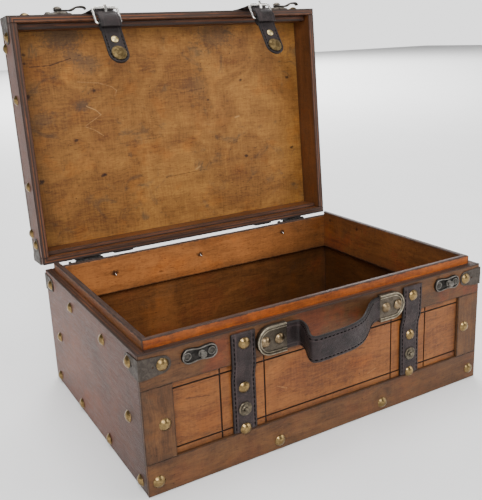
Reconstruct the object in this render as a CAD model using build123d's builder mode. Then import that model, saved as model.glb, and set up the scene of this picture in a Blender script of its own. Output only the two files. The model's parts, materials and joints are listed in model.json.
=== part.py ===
"""Wooden footlocker: grooved plywood box with an open lid, leather straps, buckles, hooks and a carry handle.

Millimetres. X runs along the front, +Y to the back, +Z up. The origin is the centre of the underside.
The lid is modelled open, and everything on it stands in lid_frame, whose own axes are those of the closed lid.
"""

import os
from math import cos, radians, sin

from build123d import *

os.makedirs("parts", exist_ok=True)

# ---------------------------------------------------------------- driving sizes
trunk_width = 380.0
trunk_depth = 264.0
body_height = 128.0
lid_height = 40.0
open_angle = 94.0

side_wall = 8.0
back_wall = 8.0
front_panel_thickness = 5.0
frame_board = 3.0
bottom_thickness = 5.0
top_rail_height = 31.0
bottom_rail_height = 30.0
stile_width = 28.0
groove_width = 1.6
groove_depth = 1.3
groove_inset = 6.3

lip_thickness = 6.0
lip_rise = 8.5
back_lip_rise = 4.0
lip_drop = 38.0
lip_rounding = 1.6
lid_gap = 0.3
lip_clearance = 0.5
lid_top_thickness = 5.0
front_batten_thickness = 6.5
back_batten_thickness = 4.5
batten_clearance = 1.5
board_edge = 0.6
panel_groove = 38.0

nail_radius = 5.5
nail_dome = 3.2
nail_shank_radius = 0.9
nail_shank = 6.0
shank_clearance = 0.05

bracket_sheet = 0.8
bracket_reach = 28.5
bracket_width = 18.0
bracket_tip_radius = 7.6
bracket_nail_reach = 20.4
bracket_nail_height = 116.0
pin_hole_radius = 0.8
pin_hole_reach = 12.0

strap_x = 95.5
strap_width = 24.0
body_strap_leather = 3.0
body_strap_top = 125.4
strap_skive = 1.3
lid_leather = 2.4

hook_x = (-134.9, 144.2)
hook_reach = 26.0
catch_height = 116.8
catch_plate_length = 33.0
catch_plate_width = 15.0
catch_plate_shift = -1.7
catch_screw_reach = 11.2
catch_plate_thickness = 1.5
catch_stud_radius = 3.2
catch_stud_top = 7.0
hook_plate_length = 30.0
hook_plate_width = 13.0
hook_plate_thickness = 2.0
hook_boss_radius = 4.6
hook_boss_top = 4.0
hook_arm_thickness = 1.6
hook_arm_width = 7.0
hook_running_gap = 0.4
hook_lip_clear = 5.2

cap_x = 53.0
cap_height = 111.2
cap_length = 30.0
cap_width = 27.0
cap_depth = 5.0
cap_sheet = 1.2
handle_width = 24.0
handle_leather = 3.2
handle_fit = 0.2
rivet_radius = 4.7
rivet_dome = 2.8
rivet_shank_radius = 1.5
rivet_reach = (7.4, 22.0)

hinge_x = 139.0
hinge_length = 30.0
hinge_leaf_height = 22.0
hinge_leaf = 1.5
hinge_pin_radius = 1.4
hinge_pin_fit = 0.05
hinge_knuckle_radius = 3.4
hinge_pin_behind = 3.9
hinge_pin_below = 0.9
hinge_knuckle_gap = 0.3
hinge_pin_knob_reach = 22.0

screw_radius = 2.3
screw_shank_radius = 0.9
screw_shank = 4.0

# leather bridge, buckle and strap end, counted along the strap from the lid rim
bridge_start = 5.0
buckle_drop = 22.0
buckle_stand = 3.3
bridge_end_gap = 0.35
bridge_sag = 0.6
buckle_length = 19.0
buckle_wire = 1.2
buckle_side_clearance = 0.5
roller_radius = 2.0
running_fit = 0.08
prong_radius = 0.9
prong_width = 2.6
prong_eye_radius = 2.3
tail_leather = 2.2
tail_reach = 30.0
strap_end_leather = 2.6
strap_end_reach = 68.0
strap_end_loop_radius = 3.2
snap_reach = 57.0
snap_cap_radius = 8.2
snap_socket_radius = 5.6
snap_socket_depth = 2.6
flap_rivet_reach = 40.0
flap_rivet_radius = 3.8
bridge_ratio = 0.25
buckle_ratio = 0.38
press_angle = 10.0

# ---------------------------------------------------------------- frames and faces
half_width = trunk_width / 2
half_depth = trunk_depth / 2
lid_wall = side_wall - lip_clearance
lid_board_height = lid_height - lid_top_thickness
field_bottom = bottom_rail_height
field_top = body_height - top_rail_height
field_half_width = half_width - stile_width
field_face = half_depth - frame_board

hinge_pin_y = half_depth + hinge_pin_behind
hinge_pin_z = body_height - hinge_pin_below


def yz(angle):
    """Unit vector in the YZ plane, its angle counted from +Y towards +Z."""
    return Vector(0, cos(radians(angle)), sin(radians(angle)))


def turned(point, pivot, angle):
    """The (y, z) point turned about the (y, z) pivot."""
    y = point[0] - pivot[0]
    z = point[1] - pivot[1]
    c = cos(radians(angle))
    s = sin(radians(angle))
    return (pivot[0] + y * c - z * s, pivot[1] + y * s + z * c)


def carried(frame, face):
    """A face plane given in the axes of frame, as a plane in the trunk's axes."""
    return Plane(frame.location * face.location)


lid_origin_y, lid_origin_z = turned((0, body_height + lid_gap), (hinge_pin_y, hinge_pin_z), -open_angle)
lid_frame = Plane(origin=(0, lid_origin_y, lid_origin_z), x_dir=(1, 0, 0), z_dir=yz(90 - open_angle))

front_face = Plane(origin=(0, -half_depth, 0), x_dir=(1, 0, 0), z_dir=(0, -1, 0))
back_face = Plane(origin=(0, half_depth, 0), x_dir=(-1, 0, 0), z_dir=(0, 1, 0))
left_face = Plane(origin=(-half_width, 0, 0), x_dir=(0, -1, 0), z_dir=(-1, 0, 0))
right_face = Plane(origin=(half_width, 0, 0), x_dir=(0, 1, 0), z_dir=(1, 0, 0))
lid_front_face = carried(lid_frame, front_face)
lid_back_face = carried(lid_frame, back_face)
lid_left_face = carried(lid_frame, left_face)
lid_right_face = carried(lid_frame, right_face)
lid_top_face = carried(lid_frame, Plane.XY.offset(lid_height))

# the bridge turns on the strap's outer face just above the rim, the buckle on its roller
bridge_pivot = (-half_depth - lid_leather, bridge_start)
roller_at = (-half_depth - buckle_stand, -buckle_drop)
flap_angle = -90 + (bridge_ratio + buckle_ratio) * open_angle


def flap_frame(x):
    """Axes of a buckle: X across, Y up along the strap, Z out of its face, origin on the roller's axis."""
    out = yz(flap_angle - 90 - open_angle)
    place = lid_frame.from_local_coords(Vector(x, roller_at[0], roller_at[1]))
    return Plane(origin=place, x_dir=(1, 0, 0), z_dir=out)


# where the pressed snap meets the body strap with the lid shut
shut_roller = turned(roller_at, bridge_pivot, -bridge_ratio * open_angle)
shut_bar = (shut_roller[0], shut_roller[1] - buckle_length)
snap_shut = turned((shut_bar[0], shut_bar[1] - (snap_reach - buckle_length)), shut_bar, press_angle)
snap_height = body_height + lid_gap + snap_shut[1]


# ---------------------------------------------------------------- shared shapes
def write(part, name):
    part.label = name
    export_step(part, f"parts/{name}.step")


def slab(x, y, z, mode=Mode.ADD):
    """A block from (low, high) pairs, in the axes of the sub-part being built."""
    with Locations((x[0], y[0], z[0])):
        Box(x[1] - x[0], y[1] - y[0], z[1] - z[0], align=(Align.MIN, Align.MIN, Align.MIN), mode=mode)


def lid_board(x, y, z, edge=board_edge):
    """A lid board with its edges broken and its pin holes drilled, from (low, high) pairs in the lid's own axes."""
    with BuildPart() as piece:
        with Locations(lid_frame.location):
            slab(x, y, z)
        chamfer(piece.edges(), edge)
        drill_for(all_lid_pins)
    return piece.part


def places(face, points, height=0.0):
    """Locations on a face, one per (across, up) point, with their Z out of the face."""
    return [face.location * Location((across, up, height)) for across, up in points]


def drill(spots, radius, depth):
    """Round holes in the sub-part being built, each down from its spot."""
    with Locations(*spots):
        Cylinder(radius, 2 * depth, mode=Mode.SUBTRACT)


def domed_pin(radius, dome, shank_radius, shank):
    """A domed head on a shank, its seat at the origin and its head towards +Z."""
    rim = 0.35
    ball = (radius**2 + (dome - rim) ** 2) / (2 * (dome - rim))
    with BuildPart() as pin:
        with BuildSketch(Plane.XZ):
            with BuildLine():
                Polyline((0, dome), (0, -shank), (shank_radius, -shank), (shank_radius, 0), (radius, 0), (radius, rim))
                RadiusArc((radius, rim), (0, dome), -ball)
            make_face()
        revolve(axis=Axis.Z)
    return pin.part


def planted(pin, spots):
    """A group of like fasteners, one at each spot."""
    with BuildPart() as group:
        with Locations(*spots):
            add(pin)
    return group.part


# ---------------------------------------------------------------- fastener places
side_nails_body = [(y, z) for y, z in (
    (-46.5, 111), (46.5, 111), (-99, 60.5), (99, 60.5), (-116, 8), (116, 8), (-40, 8), (40, 8))]
front_nails_body = [(-171, 62.5), (171, 62.5), (-180, 12), (180, 12), (-60.5, 8.8), (60.5, 8.8)]
bracket_front = half_width - bracket_nail_reach
bracket_side = half_depth - bracket_nail_reach
bracket_nails_body = [(-bracket_front, bracket_nail_height), (bracket_front, bracket_nail_height)]
bracket_nails_side = [(-bracket_side, bracket_nail_height), (bracket_side, bracket_nail_height)]
strap_nail_heights = (115.4, 73.0, 33.0)

lid_nail_height = 17.0
lid_side_nails = [(-46.5, lid_nail_height), (46.5, lid_nail_height), (-101, 32.5), (101, 32.5)]
lid_bracket_front = [(-bracket_front, lid_nail_height), (bracket_front, lid_nail_height)]
lid_bracket_side = [(-bracket_side, lid_nail_height), (bracket_side, lid_nail_height)]
lid_strap_top_nails = [(x, y) for x in (-strap_x, strap_x) for y in (-88, 0, 88)]
lid_strap_back_nails = [(-strap_x, 22), (strap_x, 22)]

body_nail_spots = (
    places(left_face, side_nails_body) + places(right_face, side_nails_body)
    + places(front_face, front_nails_body)
    + places(front_face, bracket_nails_body, bracket_sheet) + places(back_face, bracket_nails_body, bracket_sheet)
    + places(left_face, bracket_nails_side, bracket_sheet) + places(right_face, bracket_nails_side, bracket_sheet))
strap_nail_spots = []
for x in (-strap_x, strap_x):
    strap_nail_spots += places(front_face, [(x, strap_nail_heights[0])], body_strap_leather)
    strap_nail_spots += places(front_face, [(x, z) for z in strap_nail_heights[1:]])
lid_nail_spots = (
    places(lid_left_face, lid_side_nails) + places(lid_right_face, lid_side_nails)
    + places(lid_front_face, lid_bracket_front, bracket_sheet) + places(lid_back_face, lid_bracket_front, bracket_sheet)
    + places(lid_left_face, lid_bracket_side, bracket_sheet) + places(lid_right_face, lid_bracket_side, bracket_sheet)
    + places(lid_top_face, lid_strap_top_nails, lid_leather) + places(lid_back_face, lid_strap_back_nails, lid_leather))
snap_spots = places(front_face, [(-strap_x, snap_height), (strap_x, snap_height)])
rivet_spots = places(
    front_face, [(side * (cap_x + reach), cap_height) for side in (-1, 1) for reach in rivet_reach], cap_depth)
catch_spots = places(front_face, [(x, catch_height) for x in hook_x], catch_plate_thickness)
catch_screw_spots = places(
    front_face,
    [(x + catch_plate_shift + side * catch_screw_reach, catch_height) for x in hook_x for side in (-1, 1)],
    catch_plate_thickness)
hinge_screw_points = [(x + side * 9, 14) for x in (-hinge_x, hinge_x) for side in (-1, 1)]
hinge_screws_body = places(back_face, [(x, hinge_pin_z - drop) for x, drop in hinge_screw_points], hinge_leaf)
hinge_screws_lid = places(lid_back_face, [(x, rise) for x, rise in hinge_screw_points], hinge_leaf)
hook_pivot_height = hook_reach - (body_height + lid_gap - catch_height)
hook_spots = places(lid_front_face, [(x, hook_pivot_height) for x in hook_x])

all_body_pins = [(body_nail_spots + strap_nail_spots, nail_shank_radius, nail_shank),
                 (catch_screw_spots + hinge_screws_body, screw_shank_radius, screw_shank),
                 (snap_spots + catch_spots, 1.2, 5.0),
                 (rivet_spots, rivet_shank_radius, cap_depth + 4)]
all_lid_pins = [(lid_nail_spots, nail_shank_radius, nail_shank),
                (hinge_screws_lid, screw_shank_radius, screw_shank),
                (hook_spots, 1.6, 4.0)]


def drill_for(pins):
    """The holes of every fastener of a list, with their fit."""
    for spots, radius, shank in pins:
        drill(spots, radius + shank_clearance, shank + 0.2)


# ---------------------------------------------------------------- box body
for name, x in (("left_side_panel", (-half_width, -half_width + side_wall)),
                ("right_side_panel", (half_width - side_wall, half_width))):
    with BuildPart() as side_panel:
        slab(x, (-field_face, half_depth), (0, body_height))
        chamfer(side_panel.edges(), board_edge)
        drill_for(all_body_pins)
    write(side_panel.part, name)

inner_half_width = half_width - side_wall
with BuildPart() as front_panel:
    slab((-inner_half_width, inner_half_width), (-field_face, -field_face + front_panel_thickness), (0, body_height))
    groove_span = 2 * field_half_width
    for z in (field_bottom + groove_inset, field_top - groove_inset):
        with Locations((0, -field_face, z)):
            Box(groove_span, 2 * groove_depth, groove_width, mode=Mode.SUBTRACT)
    for x in (-117.5, -73.0, 73.0, 117.5):
        with Locations((x, -field_face, (field_bottom + field_top) / 2)):
            Box(groove_width, 2 * groove_depth, field_top - field_bottom, mode=Mode.SUBTRACT)
    drill_for(all_body_pins)
write(front_panel.part, "front_panel")

with BuildPart() as back_panel:
    slab((-inner_half_width, inner_half_width), (half_depth - back_wall, half_depth), (0, body_height))
    chamfer(back_panel.faces().sort_by(Axis.Y)[-1].edges(), board_edge)
    drill_for(all_body_pins)
write(back_panel.part, "back_panel")

front_inner = -field_face + front_panel_thickness
with BuildPart() as bottom_panel:
    slab((-inner_half_width, inner_half_width), (front_inner, half_depth - back_wall), (0, bottom_thickness))
write(bottom_panel.part, "bottom_panel")

for name, z in (("front_top_rail", (field_top, body_height)), ("front_bottom_rail", (0, bottom_rail_height))):
    with BuildPart() as rail:
        slab((-half_width, half_width), (-half_depth, -field_face), z)
        chamfer(rail.faces().sort_by(Axis.Y)[0].edges(), board_edge)
        drill_for(all_body_pins)
    write(rail.part, name)

with BuildPart() as stiles:
    for x in ((-half_width, -field_half_width), (field_half_width, half_width)):
        slab(x, (-half_depth, -field_face), (field_bottom, field_top))
    chamfer(stiles.faces().group_by(Axis.Y)[0].edges(), board_edge)
    drill_for(all_body_pins)
write(stiles.part, "front_stiles")

# lip frame: four boards mitred at the corners
lip_outer_x = half_width - side_wall
lip_outer_front = half_depth - side_wall
lip_outer_back = half_depth - back_wall
lip_bottom = body_height - lip_drop


def lip_board(side, rise):
    """One lip board: a mitred trapezium in plan, its top edges rounded."""
    x = lip_outer_x
    t = lip_thickness
    front = -lip_outer_front
    back = lip_outer_back
    plan = {
        "front": [(-x, front), (x, front), (x - t, front + t), (-x + t, front + t)],
        "back": [(-x, back), (-x + t, back - t), (x - t, back - t), (x, back)],
        "left": [(-x, front), (-x + t, front + t), (-x + t, back - t), (-x, back)],
        "right": [(x, front), (x, back), (x - t, back - t), (x - t, front + t)],
    }[side]
    with BuildPart() as lip:
        with BuildSketch(Plane.XY.offset(lip_bottom)):
            with BuildLine():
                Polyline(*plan, close=True)
            make_face()
        extrude(amount=body_height + rise - lip_bottom)
        long_way = Axis.X if side in ("front", "back") else Axis.Y
        fillet(lip.edges().filter_by(long_way).group_by(Axis.Z)[-1], lip_rounding)
        drill_for(all_body_pins)
    return lip.part


write(lip_board("front", lip_rise), "front_lip")
write(lip_board("back", back_lip_rise), "back_lip")
write(lip_board("left", lip_rise), "left_lip")
write(lip_board("right", lip_rise), "right_lip")


# ---------------------------------------------------------------- corner brackets
def bracket_leg(face, corner, toward, nail_height, low, high):
    """A sheet leg on a face, from the corner to a rounded tip round its nail."""
    with BuildSketch(face) as leg:
        with Locations((corner - toward * pin_hole_reach / 4, (low + high) / 2)):
            Rectangle(pin_hole_reach / 2, high - low)
        with Locations((corner - toward * bracket_nail_reach, nail_height)):
            Circle(bracket_tip_radius)
        make_hull()
        with Locations((corner - toward * pin_hole_reach, (low + high) / 2)):
            Circle(pin_hole_radius, mode=Mode.SUBTRACT)
        with Locations((corner - toward * bracket_nail_reach, nail_height)):
            Circle(nail_shank_radius + shank_clearance, mode=Mode.SUBTRACT)
    extrude(leg.sketch, amount=bracket_sheet)


def wrapped_corner(frame, x_sign, y_sign, low, high):
    """The strip of sheet that joins two legs round the corner."""
    x = x_sign * (half_width + bracket_sheet / 2)
    y = y_sign * (half_depth + bracket_sheet / 2)
    with Locations(frame.location * Location((x, y, (low + high) / 2))):
        Box(bracket_sheet, bracket_sheet, high - low)


body_low = bracket_nail_height - 0.5 - bracket_width / 2
body_high = body_low + bracket_width
with BuildPart() as body_brackets:
    for x_sign in (-1, 1):
        for y_sign in (-1, 1):
            lengthwise = front_face if y_sign < 0 else back_face
            endwise = left_face if x_sign < 0 else right_face
            along = x_sign * (1 if y_sign < 0 else -1)
            across = y_sign * (1 if x_sign > 0 else -1)
            bracket_leg(lengthwise, along * half_width, along, bracket_nail_height, body_low, body_high)
            bracket_leg(endwise, across * half_depth, across, bracket_nail_height, body_low, body_high)
            wrapped_corner(Plane.XY, x_sign, y_sign, body_low, body_high)
write(body_brackets.part, "body_corner_brackets")

lid_low = lid_nail_height - bracket_width / 2
lid_high = lid_height - 2.0
with BuildPart() as lid_brackets:
    for x_sign in (-1, 1):
        for y_sign in (-1, 1):
            lengthwise = lid_front_face if y_sign < 0 else lid_back_face
            endwise = lid_left_face if x_sign < 0 else lid_right_face
            along = x_sign * (1 if y_sign < 0 else -1)
            across = y_sign * (1 if x_sign > 0 else -1)
            bracket_leg(lengthwise, along * half_width, along, lid_nail_height, lid_low, lid_high)
            bracket_leg(endwise, across * half_depth, across, lid_nail_height, lid_low, lid_high)
            wrapped_corner(lid_frame, x_sign, y_sign, lid_low, lid_high)
write(lid_brackets.part, "lid_corner_brackets")

# ---------------------------------------------------------------- nails, screws and rivets
nail = domed_pin(nail_radius, nail_dome, nail_shank_radius, nail_shank)
write(planted(nail, body_nail_spots), "body_nails")
write(planted(nail, strap_nail_spots), "strap_nails")
write(planted(nail, lid_nail_spots), "lid_nails")

screw = domed_pin(screw_radius, 0.9, screw_shank_radius, screw_shank)
write(planted(screw, catch_screw_spots + hinge_screws_body), "body_screws")
write(planted(screw, hinge_screws_lid), "hinge_lid_screws")

handle_rivet = domed_pin(rivet_radius, rivet_dome, rivet_shank_radius, cap_depth + 4)
write(planted(handle_rivet, rivet_spots), "handle_rivets")

catch_stud = domed_pin(catch_stud_radius, catch_stud_top - catch_plate_thickness, 1.2, 5.0)
write(planted(catch_stud, catch_spots), "catch_studs")

stud_height = 4.2
with BuildPart() as snap_stud:
    with BuildSketch(Plane.XZ):
        with BuildLine():
            Polyline((0, stud_height), (0, -5), (1.2, -5), (1.2, 0), (6.6, 0), (6.6, 0.9), (5.4, 1.2), (4.6, 0.7),
                     (3.2, 0.7), (2.3, 1.4), (2.0, 2.2), (2.5, 3.1), (1.9, 3.9), (1.0, stud_height), close=True)
        make_face()
    revolve(axis=Axis.Z)
write(planted(snap_stud.part, snap_spots), "snap_studs")

# ---------------------------------------------------------------- body straps
strap_foot = field_bottom + 0.2
step_low = field_top - 1.0
step_high = field_top + 2.0
for name, x in (("left_body_strap", -strap_x), ("right_body_strap", strap_x)):
    field_out = -field_face - body_strap_leather
    rail_out = -half_depth - body_strap_leather
    with BuildPart() as body_strap:
        with BuildSketch(Plane.YZ.offset(x - strap_width / 2)):
            with BuildLine():
                Polyline(
                    (-field_face, strap_foot), (-field_face, field_top), (-half_depth, field_top),
                    (-half_depth, body_strap_top), (rail_out, body_strap_top), (rail_out, step_high),
                    (field_out, step_low - body_strap_leather), (field_out, strap_foot), close=True)
            make_face()
        extrude(amount=strap_width)
        chamfer(body_strap.edges().filter_by(Axis.X).group_by(Axis.Z)[-1].sort_by(Axis.Y)[0], strap_skive)
        drill_for(all_body_pins)
    write(body_strap.part, name)

# ---------------------------------------------------------------- carry handle
handle_seat = -half_depth - handle_fit - handle_leather / 2
handle_end = cap_x + cap_length - 2.0
# plan of the leather: straight run out of the left cap, a sharp turn, the belly, and a long slope to the right cap
handle_corners = {
    (-37.6, handle_seat): 4.0,
    (-50.8, -168.8): 5.0,
    (-42.0, -172.8): 6.0,
    (-12.0, -171.4): 50.0,
    (8.0, -164.5): 50.0,
    (44.0, -134.9): 12.0,
}
with BuildPart() as handle:
    with BuildSketch(Plane.XY.offset(cap_height - handle_width / 2)):
        with BuildLine() as route:
            Polyline((-cap_x - 4, handle_seat), *handle_corners, (cap_x + 4, handle_seat))
            for corner, turn_radius in handle_corners.items():
                fillet([v for v in route.vertices() if (v.center() - Vector(*corner)).length < 0.01], turn_radius)
        trace(line_width=handle_leather)
    extrude(amount=handle_width)
    with BuildSketch(front_face.offset(handle_fit)):
        for side in (-1, 1):
            with Locations((side * (handle_end - handle_width / 2), cap_height)):
                Circle(handle_width / 2)
            with Locations((side * (cap_x + 1 + handle_end - handle_width / 2) / 2, cap_height)):
                Rectangle(handle_end - handle_width / 2 - cap_x - 1, handle_width)
    extrude(amount=handle_leather)
    drill(rivet_spots, rivet_shank_radius + shank_clearance, cap_depth + 4)
write(handle.part, "carry_handle")

with BuildPart() as caps:
    for side in (-1, 1):
        bow = side * (cap_x + cap_length - cap_width / 2)
        straight = (side * cap_x + bow) / 2
        for inset, low, high, mode in ((0, 0, cap_depth, Mode.ADD),
                                       (cap_sheet + handle_fit, 0, cap_depth - cap_sheet, Mode.SUBTRACT),
                                       (cap_width * 0.13, cap_depth - 0.5, cap_depth + 1, Mode.SUBTRACT)):
            reach = abs(bow - side * cap_x) + (1 if mode is Mode.SUBTRACT else 0)
            with BuildSketch(front_face.offset(low)):
                with Locations((bow, cap_height)):
                    Circle(cap_width / 2 - inset)
                with Locations((bow - side * reach / 2, cap_height)):
                    Rectangle(reach, cap_width - 2 * inset)
            extrude(amount=high - low, mode=mode)
    drill(rivet_spots, rivet_shank_radius + shank_clearance, cap_depth)
write(caps.part, "handle_end_caps")

# ---------------------------------------------------------------- catches on the body
with BuildPart() as catch_plates:
    for x in hook_x:
        with BuildSketch(front_face):
            with Locations((x + catch_plate_shift, catch_height)):
                SlotOverall(catch_plate_length, catch_plate_width)
            for waist in (-1, 1):
                with Locations((x + catch_plate_shift, catch_height + waist * (catch_plate_width / 2 + 13.4))):
                    Circle(14.6, mode=Mode.SUBTRACT)
        extrude(amount=catch_plate_thickness)
    chamfer(catch_plates.faces().group_by(Axis.Y)[0].edges(), 0.4)
    drill(catch_screw_spots, screw_shank_radius + shank_clearance, catch_plate_thickness + 1)
    drill(catch_spots, 1.2 + shank_clearance, catch_plate_thickness + 1)
write(catch_plates.part, "catch_plates")

# ---------------------------------------------------------------- hinges
knuckle_third = hinge_length / 3
body_knuckles = [(-knuckle_third, knuckle_third - hinge_knuckle_gap), (knuckle_third, knuckle_third - hinge_knuckle_gap)]
lid_knuckles = [(0, knuckle_third - hinge_knuckle_gap)]
sweep_clearance = 0.6


def hinge_leaves(face, upward, own, other, screws, pin_frame):
    """Both leaves of one side: flat plates with their knuckles on the pin axis."""
    with BuildPart() as leaves:
        for x in (-hinge_x, hinge_x):
            foot = hinge_pin_z if upward < 0 else hinge_rise
            with BuildSketch(face):
                with Locations((-x, foot + upward * hinge_leaf_height / 2)):
                    RectangleRounded(hinge_length, hinge_leaf_height, 2.0)
            extrude(amount=hinge_leaf)
            for place, length in other:
                with Locations(pin_frame * Location((x + place, 0, 0), (0, 90, 0))):
                    Cylinder(hinge_pin_behind + sweep_clearance, length + 2 * hinge_knuckle_gap, mode=Mode.SUBTRACT)
            for place, length in own:
                with Locations(pin_frame * Location((x + place, 0, 0), (0, 90, 0))):
                    Cylinder(hinge_knuckle_radius, length)
            with Locations(pin_frame * Location((x, 0, 0), (0, 90, 0))):
                Cylinder(hinge_pin_radius + hinge_pin_fit, hinge_length + 2, mode=Mode.SUBTRACT)
        drill(screws, screw_shank_radius + shank_clearance, 3)
    return leaves.part


hinge_rise = 0.4
pin_place = Location((0, hinge_pin_y, hinge_pin_z))
write(hinge_leaves(back_face, -1, body_knuckles, lid_knuckles, hinge_screws_body, pin_place), "hinge_body_leaves")
lid_pin_place = lid_frame.location * Location((0, hinge_pin_y, -hinge_pin_below - lid_gap))
write(hinge_leaves(lid_back_face, 1, lid_knuckles, body_knuckles, hinge_screws_lid, lid_pin_place), "hinge_lid_leaves")

with BuildPart() as hinge_pins:
    for x in (-hinge_x, hinge_x):
        low = x - hinge_pin_knob_reach
        high = x + hinge_length / 2 + 0.8
        with Locations(pin_place * Location(((low + high) / 2, 0, 0), (0, 90, 0))):
            Cylinder(hinge_pin_radius, high - low)
        with Locations(pin_place * Location((low, 0, 0), (0, 90, 0))):
            Cylinder(3.1, 2.2)
        with Locations(pin_place * Location((high, 0, 0), (0, 90, 0))):
            Cylinder(2.3, 0.8)
write(hinge_pins.part, "hinge_pins")

# ---------------------------------------------------------------- lid boards
for name, y in (("lid_front_wall", (-half_depth, -half_depth + lid_wall)),
                ("lid_back_wall", (half_depth - lid_wall, half_depth))):
    write(lid_board((-half_width, half_width), y, (0, lid_board_height)), name)

lid_side_span = (-half_depth + lid_wall, half_depth - lid_wall)
for name, x in (("lid_left_wall", (-half_width, -half_width + lid_wall)),
                ("lid_right_wall", (half_width - lid_wall, half_width))):
    write(lid_board(x, lid_side_span, (0, lid_board_height)), name)

with BuildPart() as lid_top:
    with Locations(lid_frame.location):
        slab((-half_width, half_width), (-half_depth, half_depth), (lid_board_height, lid_height))
    chamfer(lid_top.edges(), board_edge)
    with Locations(lid_frame.location):
        with Locations((0, -half_depth + panel_groove, lid_height), (0, half_depth - panel_groove, lid_height)):
            Box(trunk_width - 2 * stile_width, groove_width, 2 * groove_depth, mode=Mode.SUBTRACT)
        with Locations((-half_width + panel_groove, 0, lid_height), (half_width - panel_groove, 0, lid_height)):
            Box(groove_width, trunk_depth - 2 * stile_width, 2 * groove_depth, mode=Mode.SUBTRACT)
    drill_for(all_lid_pins)
write(lid_top.part, "lid_top_panel")

batten_span = (-half_width + lid_wall, half_width - lid_wall)
batten_rise = (lip_rise + batten_clearance, lid_board_height)
front_batten_y = (-half_depth + lid_wall, -half_depth + lid_wall + front_batten_thickness)
back_batten_y = (half_depth - lid_wall - back_batten_thickness, half_depth - lid_wall)
write(lid_board(batten_span, front_batten_y, batten_rise), "lid_front_batten")
write(lid_board(batten_span, back_batten_y, batten_rise), "lid_back_batten")

# ---------------------------------------------------------------- lid straps
lid_out = half_depth + lid_leather
lid_up = lid_height + lid_leather
for name, x in (("left_lid_strap", -strap_x), ("right_lid_strap", strap_x)):
    side_plane = carried(lid_frame, Plane.YZ.offset(x - strap_width / 2))
    with BuildPart() as lid_strap:
        with BuildSketch(side_plane):
            with BuildLine():
                Polyline((-half_depth, bridge_start + 0.6), (-lid_out, bridge_start + 0.6), (-lid_out, lid_up),
                         (lid_out, lid_up), (lid_out, 2.5), (half_depth, 2.5), (half_depth, lid_height),
                         (-half_depth, lid_height), close=True)
            make_face()
        extrude(amount=strap_width)
        drill_for(all_lid_pins)
    write(lid_strap.part, name)

# ---------------------------------------------------------------- swing hooks on the lid
with BuildPart() as hook_plates:
    for x in hook_x:
        with BuildSketch(lid_front_face):
            with Locations((x, hook_pivot_height)):
                SlotOverall(hook_plate_length, hook_plate_width)
        extrude(amount=hook_plate_thickness)
        with BuildSketch(lid_front_face.offset(hook_plate_thickness)):
            with Locations((x, hook_pivot_height)):
                Circle(hook_boss_radius)
        extrude(amount=hook_boss_top - hook_plate_thickness)
    drill(hook_spots, 1.6 + shank_clearance, hook_boss_top)
write(hook_plates.part, "hook_base_plates")

arm_low = hook_boss_top + hook_running_gap
arm_high = arm_low + hook_arm_thickness
hook_rivet_spots = places(lid_front_face, [(x, hook_pivot_height) for x in hook_x], arm_high + hook_running_gap)
pivot_shank = arm_high + hook_running_gap + 4.0
hook_rivet = domed_pin(4.6, 3.2, 1.6, pivot_shank)
write(planted(hook_rivet, hook_rivet_spots), "hook_pivot_rivets")

arch_low = catch_stud_top + 0.6
arch_high = arch_low + hook_arm_thickness
lip_near = hook_reach + catch_stud_radius + 0.5
lip_far = lip_near + hook_arm_thickness
for name, x in (("left_hook", hook_x[0]), ("right_hook", hook_x[1])):
    arm_plane = carried(lid_frame, Plane(
        origin=(x, -half_depth, hook_pivot_height + hook_arm_width / 2), x_dir=(1, 0, 0), z_dir=(0, 0, 1)))
    pivot_plane = carried(lid_front_face, Plane(origin=(x, hook_pivot_height, arm_low)))
    with BuildPart() as hook:
        with BuildSketch(arm_plane):
            with BuildLine():
                Polyline((0, -arm_low), (15, -arm_low), (20.5, -arch_low), (lip_near, -arch_low), (lip_near, -hook_lip_clear),
                         (lip_far, -hook_lip_clear), (lip_far, -arch_high), (20, -arch_high), (14.5, -arm_high),
                         (0, -arm_high), close=True)
            make_face()
        extrude(amount=-hook_arm_width)
        fillet(hook.edges().filter_by(Axis((0, 0, 0), lid_frame.z_dir)), 0.7)
        with BuildSketch(pivot_plane):
            Circle(5.2)
        extrude(amount=hook_arm_thickness)
        with BuildSketch(pivot_plane):
            Circle(1.6 + running_fit)
        extrude(amount=hook_arm_thickness + 2, both=True, mode=Mode.SUBTRACT)
    write(hook.part, name)

# ---------------------------------------------------------------- bridges, buckles and strap ends
bar_y = -buckle_length
half_strap = strap_width / 2
arm_x = half_strap + buckle_side_clearance + buckle_wire
tail_route = [
    (-0.4, -4.8), (-2.6, -3.4), (-6.2, -0.2), (-12.4, 3.7), (-buckle_length, 5.0), (-24.0, 4.7), (-tail_reach, 3.2)]
prong_route = [(-buckle_length, 0), (-9.6, 0.1), (-3.0, 2.5), (2.6, 3.1)]


def strip(frame, route, thickness, width):
    """A bent leather or wire strip: its (along, out) centre line thickened and made width wide about the middle."""
    with BuildSketch(Plane(origin=frame.origin, x_dir=frame.y_dir, z_dir=frame.x_dir).offset(-width / 2)) as band:
        with BuildLine():
            Spline(*route)
        trace(line_width=thickness)
    extrude(band.sketch, amount=width)


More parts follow.
